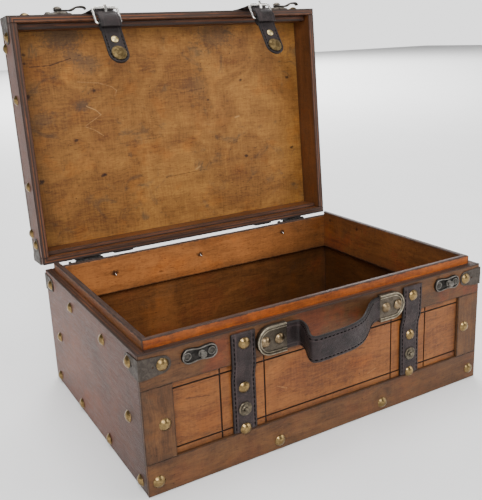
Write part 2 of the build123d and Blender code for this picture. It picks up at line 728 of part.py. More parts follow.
for side, x in (("left", -strap_x), ("right", strap_x)):
    frame = flap_frame(x)

    bridge_plane = carried(lid_frame, Plane.YZ.offset(x - half_strap))
    bridge_bottom = roller_at[1] + roller_radius + bridge_end_gap
    bridge_knee = roller_at[1] + 8.5
    with BuildPart() as bridge:
        with BuildSketch(bridge_plane):
            with BuildLine():
                Polyline((-half_depth - lid_leather, bridge_start), (-half_depth - 0.2, bridge_start),
                         (-half_depth - bridge_sag, bridge_knee), (roller_at[0] + tail_leather / 2, bridge_bottom),
                         (roller_at[0] - tail_leather / 2, bridge_bottom),
                         (-half_depth - bridge_sag - tail_leather, bridge_knee), close=True)
            make_face()
        extrude(amount=strap_width)
    write(bridge.part, f"{side}_strap_bridge")

    with BuildPart() as buckle:
        with BuildLine(frame) as ring:
            FilletPolyline((-arm_x, 0), (arm_x, 0), (arm_x, bar_y), (-arm_x, bar_y), radius=2.0, close=True)
        with BuildSketch(Plane(origin=frame.from_local_coords(Vector(0, 0, 0)), z_dir=frame.x_dir)):
            Circle(buckle_wire)
        sweep(path=ring.wire())
    write(buckle.part, f"{side}_buckle_frame")

    with BuildPart() as roller:
        with BuildSketch(Plane(origin=frame.origin, z_dir=frame.x_dir)):
            Circle(roller_radius)
            Circle(buckle_wire + running_fit, mode=Mode.SUBTRACT)
        extrude(amount=half_strap - 1.0, both=True)
    write(roller.part, f"{side}_buckle_roller")

    bar_plane = Plane(origin=frame.from_local_coords(Vector(0, bar_y, 0)), z_dir=frame.x_dir)
    with BuildPart() as prong:
        strip(frame, prong_route, 2 * prong_radius, prong_width)
        with BuildSketch(bar_plane):
            Circle(prong_eye_radius)
        extrude(amount=prong_width / 2, both=True)
        with BuildSketch(bar_plane):
            Circle(buckle_wire + running_fit)
        extrude(amount=prong_width, both=True, mode=Mode.SUBTRACT)
    write(prong.part, f"{side}_buckle_prong")

    with BuildPart() as tail:
        strip(frame, tail_route, tail_leather, strap_width)
        with BuildSketch(frame.offset(-10)):
            with Locations((0, -8.2)):
                SlotOverall(15.0, prong_width + 1.6, rotation=90)
        extrude(amount=20, mode=Mode.SUBTRACT)
    write(tail.part, f"{side}_strap_tail")

    with BuildPart() as strap_end:
        with BuildSketch(frame.offset(-1.6)):
            with Locations((0, (bar_y - 2.0 - strap_end_reach + half_strap) / 2)):
                Rectangle(strap_width, strap_end_reach - half_strap + bar_y - 2.0)
            with Locations((0, -strap_end_reach + half_strap)):
                Circle(half_strap)
        extrude(amount=strap_end_leather)
        with BuildSketch(bar_plane):
            Circle(strap_end_loop_radius)
        extrude(amount=half_strap, both=True)
        with BuildSketch(bar_plane):
            Circle(buckle_wire + 0.3)
        extrude(amount=half_strap + 1, both=True, mode=Mode.SUBTRACT)
        with BuildSketch(frame.offset(-6)):
            with Locations((0, bar_y)):
                Rectangle(prong_width + 1.0, 12)
        extrude(amount=12, mode=Mode.SUBTRACT)
        drill(places(frame, [(0, -snap_reach)]), 2.4 + shank_clearance, 3)
        drill(places(frame, [(0, -flap_rivet_reach)]), 1.3 + shank_clearance, 3)
    write(strap_end.part, f"{side}_strap_end")

    outer = strap_end_leather - 1.6
    with BuildPart() as snap_cap:
        with BuildSketch(Plane(origin=frame.from_local_coords(Vector(0, -snap_reach, 0)), x_dir=frame.x_dir,
                               z_dir=-frame.y_dir)) as half_section:
            with BuildLine():
                Polyline((0, outer + 1.5), (0, -1.8), (3.3, -1.8), (3.3, -1.6 - snap_socket_depth),
                         (snap_socket_radius, -1.6 - snap_socket_depth), (snap_socket_radius, -1.6), (2.4, -1.6),
                         (2.4, outer), (snap_cap_radius, outer), (snap_cap_radius, outer + 1.0),
                         (snap_cap_radius - 0.9, outer + 1.9), (snap_cap_radius - 2.2, outer + 1.9),
                         (snap_cap_radius - 2.8, outer + 1.5), close=True)
            make_face()
        revolve(axis=Axis(frame.from_local_coords(Vector(0, -snap_reach, 0)), frame.z_dir))
    write(snap_cap.part, f"{side}_snap_cap")

    flap_rivet = domed_pin(flap_rivet_radius, 1.3, 1.3, 3.0)
    write(planted(flap_rivet, places(frame, [(0, -flap_rivet_reach)], outer)), f"{side}_strap_rivet")
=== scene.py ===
"""Open wooden footlocker: stained plywood, stitched leather, domed brass nails, buckles and swing hooks."""
import json
import math

import bmesh
import bpy
import numpy as np
from bpy.props import FloatProperty, FloatVectorProperty, IntProperty, PointerProperty
from mathutils import Matrix, Vector


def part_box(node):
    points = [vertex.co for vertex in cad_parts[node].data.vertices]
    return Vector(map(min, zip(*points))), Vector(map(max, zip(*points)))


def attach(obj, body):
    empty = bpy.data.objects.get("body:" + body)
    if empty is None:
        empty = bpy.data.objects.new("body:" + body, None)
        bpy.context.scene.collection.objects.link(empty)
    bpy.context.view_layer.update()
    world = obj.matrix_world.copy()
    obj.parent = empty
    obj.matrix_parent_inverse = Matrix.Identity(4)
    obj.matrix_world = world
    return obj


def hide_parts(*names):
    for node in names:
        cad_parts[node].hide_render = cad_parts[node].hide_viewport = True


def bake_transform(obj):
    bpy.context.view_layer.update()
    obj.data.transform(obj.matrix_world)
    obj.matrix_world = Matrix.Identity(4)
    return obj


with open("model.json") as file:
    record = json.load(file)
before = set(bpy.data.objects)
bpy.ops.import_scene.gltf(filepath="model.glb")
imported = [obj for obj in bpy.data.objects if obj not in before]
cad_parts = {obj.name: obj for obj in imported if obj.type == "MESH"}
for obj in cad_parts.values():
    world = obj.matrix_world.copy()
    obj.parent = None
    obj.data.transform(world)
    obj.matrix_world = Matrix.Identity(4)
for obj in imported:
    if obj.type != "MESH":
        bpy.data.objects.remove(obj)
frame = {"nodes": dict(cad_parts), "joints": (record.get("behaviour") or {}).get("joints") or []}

bl_info = {
    "name": "Wooden Footlocker",
    "version": (1, 0, 0),
    "blender": (4, 5, 0),
    "location": "3D View > Sidebar > Footlocker",
    "description": "Dresses a wooden footlocker with stained ply, stitched leather and aged metal",
    "category": "Add Mesh",
}

MM = 0.001
JOINTS = {joint["name"]: joint for joint in frame["joints"]}
PIN = np.array(JOINTS["lid_hinge"]["pos_m"]) / MM
OPEN = math.radians(JOINTS["lid_hinge"]["range_deg"][1])
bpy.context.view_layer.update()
SIDES = (("left", -1), ("right", 1))


def box_mm(node):
    """Lowest and highest corner of a node, in millimetres."""
    low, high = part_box(node)
    return np.array(low) / MM, np.array(high) / MM


def middle_height(node):
    """Height of the middle of a node, in millimetres."""
    low, high = box_mm(node)
    return (low[2] + high[2]) / 2


HALF_W = box_mm("front_bottom_rail")[1][0]
HALF_D = -box_mm("front_bottom_rail")[0][1]
FIELD = -box_mm("front_panel")[0][1]
RIM = box_mm("front_top_rail")[1][2] + 0.3
LID_H = 40.0
LINING = RIM + 35.0
STRAP_X = float(JOINTS["right_strap_end_press"]["pos_m"][0]) / MM
HOOK_X = [float(JOINTS[side + "_hook_turn"]["pos_m"][0]) / MM for side, _ in SIDES]

# the rails' inner edges round the front field: across, and from the bottom up
FIELD_X, FIELD_Z = 162.0, (29.5, 97.5)
# leather: strap width, distance of its stitches from the middle, and the three thicknesses
STRAP_W, STITCH_X = 24.0, 9.4
BODY_LEATHER, LID_LEATHER, FLAP_LEATHER = 3.0, 2.4, 2.3
# the bracket sheet, and how far in from a corner its nail stands
SHEET, CORNER_NAIL = 0.8, 20.4
# the carry handle: height, and its end caps' radius, mouth, middle of the round end and height of the web
HANDLE_Z, CAP_R, CAP_MOUTH, CAP_ROUND, CAP_WEB = 111.2, 13.5, 53.0, 69.5, 3.95

X_AXIS, Y_AXIS, Z_AXIS = np.eye(3)

# knots and soaked stains of the lid panel: across, back, size, strength
LID_KNOTS = (
    (-174, -49, 3.6, 0.95), (-98, -51, 2.6, 0.9), (-172, -94, 2.2, 0.8), (-173, -85, 1.8, 0.8),
    (-126, 3, 2.4, 0.85), (-98, 47, 3.2, 0.95), (-171, 45, 3.2, 0.9), (96, -50, 2.2, 0.8),
    (167, -49, 2.4, 0.8), (168, 44, 2.8, 0.9), (96, 47, 2.6, 0.9), (47, -29, 1.8, 0.7),
    (-103, -80, 15, 0.55), (-128, -114, 24, 0.62), (-118, -90, 11, 0.5), (-114, -35, 9, 0.6),
    (-162, -23, 12, 0.35), (62, -109, 26, 0.5), (32, -48, 16, 0.3), (150, -98, 18, 0.3))
PALE_CUT, DARK_CUT = (0.39, 0.215, 0.082), (0.030, 0.012, 0.007)


def cuts(place, pale, dark):
    """Cuts in a face, pale ones first: both ends put in place, width, strength and colour."""
    return [(place(*row[0:2]), place(*row[2:4]), row[4], row[5], colour)
            for colour, rows in ((PALE_CUT, pale), (DARK_CUT, dark)) for row in rows]


# each row: both ends on the face, width, strength
LID_CUTS = cuts(lambda x, y: (x, y, LINING), pale=(
    (-109, -34, -99, -29, 0.7, 0.62), (-99, -29, -93, -23, 0.7, 0.55), (-93, -23, -104, -17, 0.6, 0.42),
    (-104, -17, -113, -12, 0.6, 0.36), (-113, -11, -102, -6, 0.6, 0.36), (-102, -6, -93, 1, 0.6, 0.42),
    (-117, -62, -92, -59, 0.6, 0.32), (-92, -59, -77, -54, 0.6, 0.42), (-77, -54, -71, -49, 0.6, 0.45),
    (-71, -49, -74, -43, 0.6, 0.36), (84, -4, 90, -5, 1.4, 0.6), (22, 55, 28, 52, 1.5, 0.55)), dark=(
    (-167, -81, -145, -81.5, 0.8, 0.8), (-145, -81.5, -121, -88, 0.9, 0.8), (-20, 60, 34, 57, 0.7, 0.5),
    (-60, 12, -18, 10, 0.7, 0.45), (10, -40, 44, -44, 0.8, 0.5)))
FRONT_CUTS = cuts(lambda x, z: (x, -FIELD, z),
                  pale=((-60, 62, -50, 57, 0.6, 0.3), (44, 44, 54, 47, 0.6, 0.3)),
                  dark=((-150, 78, -128, 74, 0.8, 0.6), (4, 76, 40, 73, 0.8, 0.5)))


# ------------------------------------------------------------------ settings
def tone(name, description, colour):
    """A colour setting."""
    return FloatVectorProperty(name=name, description=description, subtype="COLOR", size=3, min=0, max=1,
                               default=colour)


def level(name, description, value):
    """A setting of 0 or more."""
    return FloatProperty(name=name, description=description, default=value, min=0)


class FootlockerWood(bpy.types.PropertyGroup):
    field: tone("Front field", "Golden stain of the grooved front panel", (0.250, 0.094, 0.025))
    field_dark: tone("Front field, dark", "Dark streaks in the front panel", (0.085, 0.028, 0.009))
    rail: tone("Rails", "Brown stain of the front rails and stiles", (0.145, 0.064, 0.023))
    rail_dark: tone("Rails, dark", "Dark streaks in the rails", (0.042, 0.018, 0.008))
    flank: tone("Flanks", "Purple-brown stain of the side panels", (0.152, 0.060, 0.038))
    flank_dark: tone("Flanks, dark", "Dark clouds in the side panels", (0.059, 0.026, 0.018))
    lip: tone("Lip", "Red-orange stain of the lip's front face", (0.48, 0.120, 0.012))
    lip_dark: tone("Lip, dark", "Dark streaks in the lip", (0.125, 0.028, 0.007))
    inner: tone("Inside", "Warm brown inside the box", (0.275, 0.1, 0.027))
    inner_dark: tone("Inside, dark", "Dark streaks inside the box", (0.095, 0.034, 0.010))
    lining: tone("Lid panel", "Yellow-brown face inside the lid", (0.31, 0.142, 0.032))
    lining_dark: tone("Lid panel, dark", "Brown stains inside the lid", (0.115, 0.043, 0.010))
    # near-black of worn and scorched edges, also the painted shade in the front field's grooves and along its
    # rails
    burnt_and_shade: tone("Burnt edge", "Near-black of worn and scorched edges", (0.02, 0.012, 0.009))


class FootlockerTrim(bpy.types.PropertyGroup):
    leather: tone("Leather", "Charcoal leather", (0.0225, 0.0145, 0.0142))
    # darker dyed edge, also used as the painted shade in the stitch furrow
    edge_dye_and_furrow_shade: tone("Leather edge", "Darker dyed edge", (0.0045, 0.0035, 0.0035))
    thread: tone("Thread", "Waxed thread", (0.0022, 0.0017, 0.0017))
    brass: tone("Nail brass", "Antique brass", (0.262, 0.176, 0.074))
    brass_dark: tone("Nail tarnish", "Tarnish in the brass", (0.050, 0.032, 0.014))
    gunmetal: tone("Gunmetal", "Dark plated metal", (0.075, 0.067, 0.058))
    pewter: tone("Pewter", "Dull bracket sheet", (0.084, 0.070, 0.059))
    nickel: tone("Nickel", "Bright buckle plating", (0.74, 0.72, 0.68))
    nail_radius: FloatProperty(name="Nail radius", description="Radius of a domed nail in millimetres",
                               default=5.5, min=2, max=9)
    nail_height: FloatProperty(name="Nail height", description="Height of a domed nail in millimetres",
                               default=3.3, min=1, max=5)
    stitch_pitch: FloatProperty(name="Stitch pitch", description="Distance between stitches in millimetres",
                                default=4.3, min=2, max=8)


class FootlockerStage(bpy.types.PropertyGroup):
    key: level("Key light", "Power of the key softbox in watts", 54.0)
    fill: level("Fill light", "Power of the fill softbox in watts", 22.0)
    top: level("Top light", "Power of the overhead softbox in watts", 36.0)
    back: level("Backdrop light", "Power of the lamp over the floor behind in watts", 260.0)
    sky: level("Ceiling", "Brightness of the room above the backdrop", 0.24)
    horizon: level("Backdrop", "Brightness of the pale backdrop", 1.9)
    focal: FloatProperty(name="Lens", description="Focal length in millimetres", default=50.91, min=10)
    seed: IntProperty(name="Seed", description="Seed of the hand-made differences", default=7, min=0)


def wood_set():
    """The settings of the boards."""
    return bpy.context.scene.footlocker_wood


def trim_set():
    """The settings of the leather, thread and metal."""
    return bpy.context.scene.footlocker_trim


# ------------------------------------------------------------------ surfaces
def turned(points, angle):
    """Points (..., 3) in mm, turned by an angle about the lid's hinge pin."""
    p = np.array(points, float)
    c, s = math.cos(angle), math.sin(angle)
    y, z = p[..., 1] - PIN[1], p[..., 2] - PIN[2]
    return np.stack([p[..., 0], PIN[1] + y * c - z * s, PIN[2] + y * s + z * c], -1)


def opened(points):
    """Points of the closed lid in mm, turned back to where the open lid holds them."""
    return turned(points, -OPEN)


def unit(vectors):
    """The same directions with length one."""
    return vectors / np.linalg.norm(vectors, axis=-1, keepdims=True)


def gone(path):
    """Distance gone along a path at each of its points."""
    return np.concatenate([[0], np.cumsum(np.linalg.norm(np.diff(path, axis=0), axis=1))])


def read_at(where, run, rows):
    """Rows given at the distances run, read off at the distances where."""
    return np.stack([np.interp(where, run, column) for column in rows.T], -1)


def points_from(*columns):
    """Points from columns, where a single number stands for a whole column."""
    return np.stack(np.broadcast_arrays(*columns), -1).astype(float)


def oval(count, half_x, half_y=None):
    """Closed outline of an ellipse: (half_x * cos a, half_y * sin a), a circle where half_y is left out."""
    a = np.linspace(0, 2 * np.pi, count, endpoint=False)
    return np.stack([half_x * np.cos(a), (half_x if half_y is None else half_y) * np.sin(a)], -1)


def grid_faces(rows, columns, wrap_rows=False, wrap_columns=False):
    """Quads of a rows by columns grid of points, wrapped round where asked."""
    r = np.arange(rows if wrap_rows else rows - 1)
    c = np.arange(columns if wrap_columns else columns - 1)
    r, c = np.meshgrid(r, c, indexing="ij")
    r2, c2 = (r + 1) % rows, (c + 1) % columns
    quads = np.stack([r * columns + c, r * columns + c2, r2 * columns + c2, r2 * columns + c], -1)
    return quads.reshape(-1, 4)


def fan_faces(ring, pole, flip=False):
    """Triangles from a ring of point numbers to one pole."""
    following = np.roll(ring, -1)
    a, b = (following, ring) if flip else (ring, following)
    return np.stack([a, b, np.full(len(ring), pole)], -1)


def merged(parts):
    """One (points, faces list, uv) from several, with the point numbers moved up."""
    points, faces, uvs, start = [], [], [], 0
    for p, blocks, uv in parts:
        points.append(p)
        faces += [block + start for block in blocks]
        uvs.append(uv if uv is not None else np.zeros((len(p), 2)))
        start += len(p)
    return np.concatenate(points), faces, np.concatenate(uvs)


def piece(name, parts, material, body, smooth=True, replaces=()):
    """A mesh object from parts in mm, riding on a body, with a UV per point, its faces turned outwards."""
    points, faces, uv = merged(parts)
    mesh = bpy.data.meshes.new(name)
    mesh.from_pydata((points * MM).tolist(), [], [f for block in faces for f in block.tolist()])
    layer = mesh.uv_layers.new(name="surface")
    loops = np.zeros(len(mesh.loops), np.int32)
    mesh.loops.foreach_get("vertex_index", loops)
    layer.data.foreach_set("uv", uv[loops].astype(np.float32).ravel())
    mesh.polygons.foreach_set("use_smooth", np.full(len(mesh.polygons), smooth))
    mesh.materials.append(material)
    outward(mesh)
    thing = bpy.data.objects.new(name, mesh)
    bpy.context.scene.collection.objects.link(thing)
    if body:
        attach(thing, body)
    if replaces:
        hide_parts(*replaces)
    return thing


def outward(mesh):
    """Turns every closed shell of the mesh outwards."""
    work = bmesh.new()
    work.from_mesh(mesh)
    bmesh.ops.recalc_face_normals(work, faces=work.faces)
    work.to_mesh(mesh)
    work.free()


def revolved(profile, frames, turns=24, lobes=0.0):
    """Shapes of revolution: profile rows are (radius, height) from the top pole down to the underside.
    Each point is centre + radius*(cos a * u + sin a * v) + height * n; both ends close in a pole.
    frames is a list of (centre, u, v, n); lobes ripples the radius by that share, as a hammer leaves it."""
    profile = np.array(profile, float)
    a = np.linspace(0, 2 * np.pi, turns, endpoint=False)
    r, h = profile[1:-1, 0], profile[1:-1, 1]
    ripple = 1 + lobes * np.sin(5 * a + 1.3)[None, :]
    ring = np.stack([r[:, None] * np.cos(a) * ripple, r[:, None] * np.sin(a) * ripple,
                     np.repeat(h[:, None], turns, 1)], -1).reshape(-1, 3)
    local = np.concatenate([ring, [[0, 0, profile[0, 1]], [0, 0, profile[-1, 1]]]])
    rows = len(r)
    faces = [grid_faces(rows, turns, wrap_columns=True),
             fan_faces(np.arange(turns), rows * turns, flip=True),
             fan_faces(np.arange(turns) + (rows - 1) * turns, rows * turns + 1)]
    return [(local @ np.stack([u, v, n]) + np.array(centre), faces, None) for centre, u, v, n in frames]


def carried(path, side, up, section, scale=None, closed=False, arch=None):
    """A section carried along a path:
    point(i, j) = path_i + section_j.x * sx_i * side_i + section_j.y * sy_i * up_i.
    arch lifts the middle of the section at each station by arch_i * (1 - (x / half width)^2).
    Open paths are closed at both ends by a fan to the middle of the end section. The UV is the distance gone
    along the path and the section's x."""
    path, section = np.array(path, float), np.array(section, float)
    side, up = (np.broadcast_to(np.array(v, float), path.shape) for v in (side, up))
    n, m = len(path), len(section)
    scale = np.ones((n, 2)) if scale is None else np.array(scale, float)
    grid = (path[:, None] + section[None, :, 0, None] * scale[:, None, 0, None] * side[:, None]
            + section[None, :, 1, None] * scale[:, None, 1, None] * up[:, None])
    if arch is not None:
        lift = np.array(arch)[:, None] * (1 - (section[:, 0] / np.abs(section[:, 0]).max()) ** 2)[None, :]
        grid = grid + lift[..., None] * up[:, None]
    run = gone(path)
    uv = np.stack(np.broadcast_arrays(run[:, None] * MM, section[None, :, 0] * MM), -1).reshape(-1, 2)
    faces = [grid_faces(n, m, wrap_rows=closed, wrap_columns=True)]
    points = grid.reshape(-1, 3)
    if not closed:
        points = np.concatenate([points, grid.mean(1)[[0, -1]]])
        uv = np.concatenate([uv, [[0, 0], [run[-1] * MM, 0]]])
        faces += [fan_faces(np.arange(m), n * m, flip=True), fan_faces(np.arange(m) + (n - 1) * m, n * m + 1)]
    return points, faces, uv


def looped(path, out, section):
    """A section carried along a path that runs once round and closes, with its up along the direction out."""
    out = np.broadcast_to(out, path.shape)
    ahead = unit(np.roll(path, -1, 0) - np.roll(path, 1, 0))
    return carried(path, np.cross(ahead, out), out, section, closed=True)


def smooth_run(knots, count):
    """A smooth line through knots: even steps of a centripetal Catmull-Rom cubic, worked out all at once."""
    k = np.array(knots, float)
    k = np.concatenate([[2 * k[0] - k[1]], k, [2 * k[-1] - k[-2]]])
    t = np.concatenate([[0], np.cumsum(np.linalg.norm(np.diff(k, axis=0), axis=1) ** 0.5)])
    s = np.linspace(t[1], t[-2], count)
    i = np.clip(np.searchsorted(t, s, side="right") - 1, 1, len(k) - 3)
    t0, t1, t2, t3 = (t[i + o][:, None] for o in (-1, 0, 1, 2))
    p0, p1, p2, p3 = (k[i + o] for o in (-1, 0, 1, 2))
    s = s[:, None]

    def between(a, b, ta, tb):
        """The point at s on the straight line that is at a at time ta and at b at time tb."""
        return (tb - s) / (tb - ta) * a + (s - ta) / (tb - ta) * b
    a1, a2, a3 = between(p0, p1, t0, t1), between(p1, p2, t1, t2), between(p2, p3, t2, t3)
    b1, b2 = between(a1, a2, t0, t2), between(a2, a3, t1, t3)
    return between(b1, b2, t1, t2)


def evened(path, count):
    """The same line with evenly spaced points."""
    run = gone(path)
    return read_at(np.linspace(0, run[-1], count), run, path)


def across(path, sideways):
    """Unit vectors square to the path and to a fixed sideways direction."""
    return unit(np.cross(np.broadcast_to(sideways, path.shape), np.gradient(path, axis=0)))


def leather_section(width, thickness, seam=2.6, crown=0.0, steps=34):
    """Closed outline of a strap: a flat oval of power 9, with a sewn furrow seam mm inside each edge."""
    x = np.cos(np.linspace(0, np.pi, steps)) * width / 2
    rim = (1 - np.abs(2 * x / width) ** 9) ** (1 / 3.2)
    furrow = 0.42 * np.exp(-(((width / 2 - np.abs(x)) - seam) / 0.55) ** 2)
    top = rim * (thickness / 2 + crown * (1 - (2 * x / width) ** 2)) - furrow * rim
    low = -rim * thickness / 2
    return np.concatenate([np.stack([x, top], -1), np.stack([x, low], -1)[::-1][1:-1]])


def end_taper(path, run_in=1.4):
    """Share of a strap's width and thickness along it: a quarter circle over run_in mm at each end."""
    run = gone(path)
    near = np.clip(np.minimum(run, run[-1] - run) / run_in, 0.0, 1.0)
    share = np.sqrt(near * (2 - near))
    return np.stack([0.93 + 0.07 * share, 0.12 + 0.88 * share], -1)


def dense_ends(path, run_in=1.6, steps=5):
    """Adds a few stations close to each end of a path, where the strap is rounded over."""
    run = gone(path)
    extra = run_in * np.linspace(0, 1, steps + 1)[1:] ** 2
    return read_at(np.unique(np.round(np.concatenate([run, extra, run[-1] - extra]), 4)), run, path)


def stitches(path, side, up, offsets, lift, pitch, length=2.9, thick=0.62):
    """Rows of thread along a path: each stitch is a six-sided spindle of five rings, offset along side."""
    run = gone(path)
    where = np.arange(pitch, run[-1] - pitch * 0.6, pitch)
    side, up = np.broadcast_to(side, path.shape), np.broadcast_to(up, path.shape)
    centre, side, up = (read_at(where, run, rows) for rows in (path, side, up))
    side, up = unit(side), unit(up)
    ahead = np.cross(up, side)
    t = np.array([-0.5, -0.38, 0.0, 0.38, 0.5]) * length
    fat = np.array([0.25, 0.85, 1.0, 0.85, 0.25]) * thick
    a = np.linspace(0, 2 * np.pi, 6, endpoint=False)
    ends = np.array([[0, 5, 4, 3], [0, 3, 2, 1], [24, 25, 26, 27], [24, 27, 28, 29]])
    spindle = np.concatenate([grid_faces(len(t), len(a), wrap_columns=True), ends])
    first = np.arange(len(centre)) * len(t) * len(a)
    faces = (spindle[None] + first[:, None, None]).reshape(-1, 4)
    parts = []
    for offset in offsets:
        base = centre + offset * side + lift * up
        points = (base[:, None, None] + t[None, :, None, None] * ahead[:, None, None]
                  + (fat[:, None] * np.cos(a))[None, :, :, None] * side[:, None, None]
                  + (fat[:, None] * np.sin(a))[None, :, :, None] * up[:, None, None])
        parts.append((points.reshape(-1, 3), [faces], None))
    return parts


def stadium(length, width, waist=0.0, count=96):
    """Outline of a round-ended plate and the nearest point of its spine for each point of it.
    A point is one of the spine's, which slides from end to end as cos a changes sign, plus radius times
    (cos a, sin a); waist narrows the middle by that share, as a bell of x."""
    radius, reach = width / 2, (length - width) / 2
    a = np.linspace(0, 2 * np.pi, count, endpoint=False)
    straight = np.clip(np.cos(a) * 4.0, -1, 1) * reach
    edge = np.stack([straight + radius * np.cos(a), radius * np.sin(a)], -1)
    edge[:, 1] *= 1 - waist * np.exp(-(edge[:, 0] / 5.5) ** 2)
    return edge, np.stack([np.clip(edge[:, 0], -reach, reach), np.zeros(count)], -1)


def pressed(outline, spine, rows, profile):
    """Rings that run rows mm inwards from an outline towards its spine, and their heights, which profile
    gives at the distance gone inwards."""
    reach = np.linalg.norm(spine - outline, axis=1)
    share = np.clip(rows[:, None] / reach, 0, 1)
    flat = outline + (spine - outline) * share[..., None]
    return flat, np.interp(np.minimum(rows[:, None], reach), *profile)


def plate(outline, spine, profile, place, lumps=()):
    """A pressed plate: rings run from the outline inwards to the nearest point of its spine.
    point = outline + (spine - outline) * t, its height read from profile at the distance gone inwards, plus
    round lumps of (x, radius, height). place maps (across, up, out) in mm to the trunk, and the underside
    closes flat at 0."""
    rows = np.array([0, 0, 0.25, 0.5, 0.8, 1.1, 1.4, 1.7, 2.0, 2.4, 2.9, 3.4, 4.0, 4.8, 5.6, 6.6, 99.0])
    flat, height = pressed(outline, spine, rows, profile)
    for x, radius, rise in lumps:
        away = np.hypot(flat[..., 0] - x, flat[..., 1]) / radius
        height = np.maximum(height, profile[1][-1] + rise * np.clip(1 - away ** 4, 0, 1) ** 0.5)
    height[0] = 0.0
    points = np.concatenate([flat, height[..., None]], -1)
    return ringed(points, [*outline.mean(0), 0.0], place)


def ringed(rings, foot, place):
    """A shell from rings of points, (rows, around, 3), whose first ring closes to the point foot."""
    rows, around = rings.shape[:2]
    points = np.concatenate([rings.reshape(-1, 3), [foot]])
    faces = [grid_faces(rows, around, wrap_columns=True),
             fan_faces(np.arange(around), rows * around, flip=True)]
    return place(points), faces, None


def bar_section(width, thick, steps=20):
    """Closed outline of a flat bar: |2x/w|^5 + |2y/t|^2.5 = 1."""
    a = np.linspace(0, 2 * np.pi, steps, endpoint=False)
    c, d = np.cos(a), np.sin(a)
    return np.stack([width / 2 * np.sign(c) * np.abs(c) ** 0.4,
                     thick / 2 * np.sign(d) * np.abs(d) ** 0.8], -1)


def dome(radius, height, skirt=0.35):
    """Profile of a domed head from its top down: a flattened ball with a rolled skirt."""
    x = radius * np.sin(np.linspace(0, np.pi / 2, 9))
    z = skirt + (height - skirt) * (1 - (x / radius) ** 2.3)
    edge = [[radius * 1.01, skirt * 0.7], [radius * 0.985, 0.05], [radius * 0.9, 0.0], [0, 0.0]]
    return np.concatenate([np.stack([x, z], -1), edge])


# ------------------------------------------------------------------ places
def on_front(across_up_out):
    """(across, up, out) from the body's front face."""
    p = np.array(across_up_out, float)
    return np.stack([p[..., 0], -HALF_D - p[..., 2], p[..., 1]], -1)


def on_lid_front(across_up_out):
    """(across, height above the rim, out) from the lid's front face."""
    p = np.array(across_up_out, float)
    return opened(np.stack([p[..., 0], -HALF_D - p[..., 2], RIM + p[..., 1]], -1))


def flap_frame(side):
    """Roller centre, along and out directions of a buckle at rest, in mm."""
    roller, bar = (np.array(JOINTS[side + name]["pos_m"]) / MM
                   for name in ("_buckle_swing", "_strap_end_press"))
    along = unit(roller - bar)
    return roller, along, np.cross(X_AXIS, along)


def on_flap(side, points):
    """(across, along, out) from the roller's middle, in mm, to the trunk."""
    roller, along, out = flap_frame(side)
    p = np.array(points, float)
    return roller + p[..., 0:1] * X_AXIS + p[..., 1:2] * along + p[..., 2:3] * out


def seat(face, a, b, out=0.0):
    """Centre and axes (u, v, n) of a round thing seated on a face; lid faces are turned with the open lid."""
    side = face.removeprefix("lid_")
    axes = {"front": ((a, -HALF_D - out, b), X_AXIS, Z_AXIS, -Y_AXIS),
            "back": ((a, HALF_D + out, b), -X_AXIS, Z_AXIS, Y_AXIS),
            "left": ((-HALF_W - out, a, b), -Y_AXIS, Z_AXIS, -X_AXIS),
            "right": ((HALF_W + out, a, b), Y_AXIS, Z_AXIS, X_AXIS),
            "top": ((a, b, RIM + LID_H + out), X_AXIS, Y_AXIS, Z_AXIS)}[side]
    centre, *axes = (np.array(k, float) for k in axes)
    if side == face:
        return centre, *axes
    if side != "top":
        centre = centre + (0, 0, RIM)
    return opened(centre), *(opened(centre + axis) - opened(centre) for axis in axes)


def tilted(frames, seed, lean=0.05):
    """The same seats, each leaning and turning a little by chance."""
    rng = np.random.default_rng(seed)
    leaning = []
    for centre, u, v, n in frames:
        n2 = unit(n + lean * (rng.normal() * u + rng.normal() * v))
        turn = rng.uniform(0, 2 * np.pi)
        u2 = np.cos(turn) * u + np.sin(turn) * v
        u2 = unit(u2 - n2 * (u2 @ n2))
        leaning.append((centre, u2, np.cross(n2, u2), n2))
    return leaning


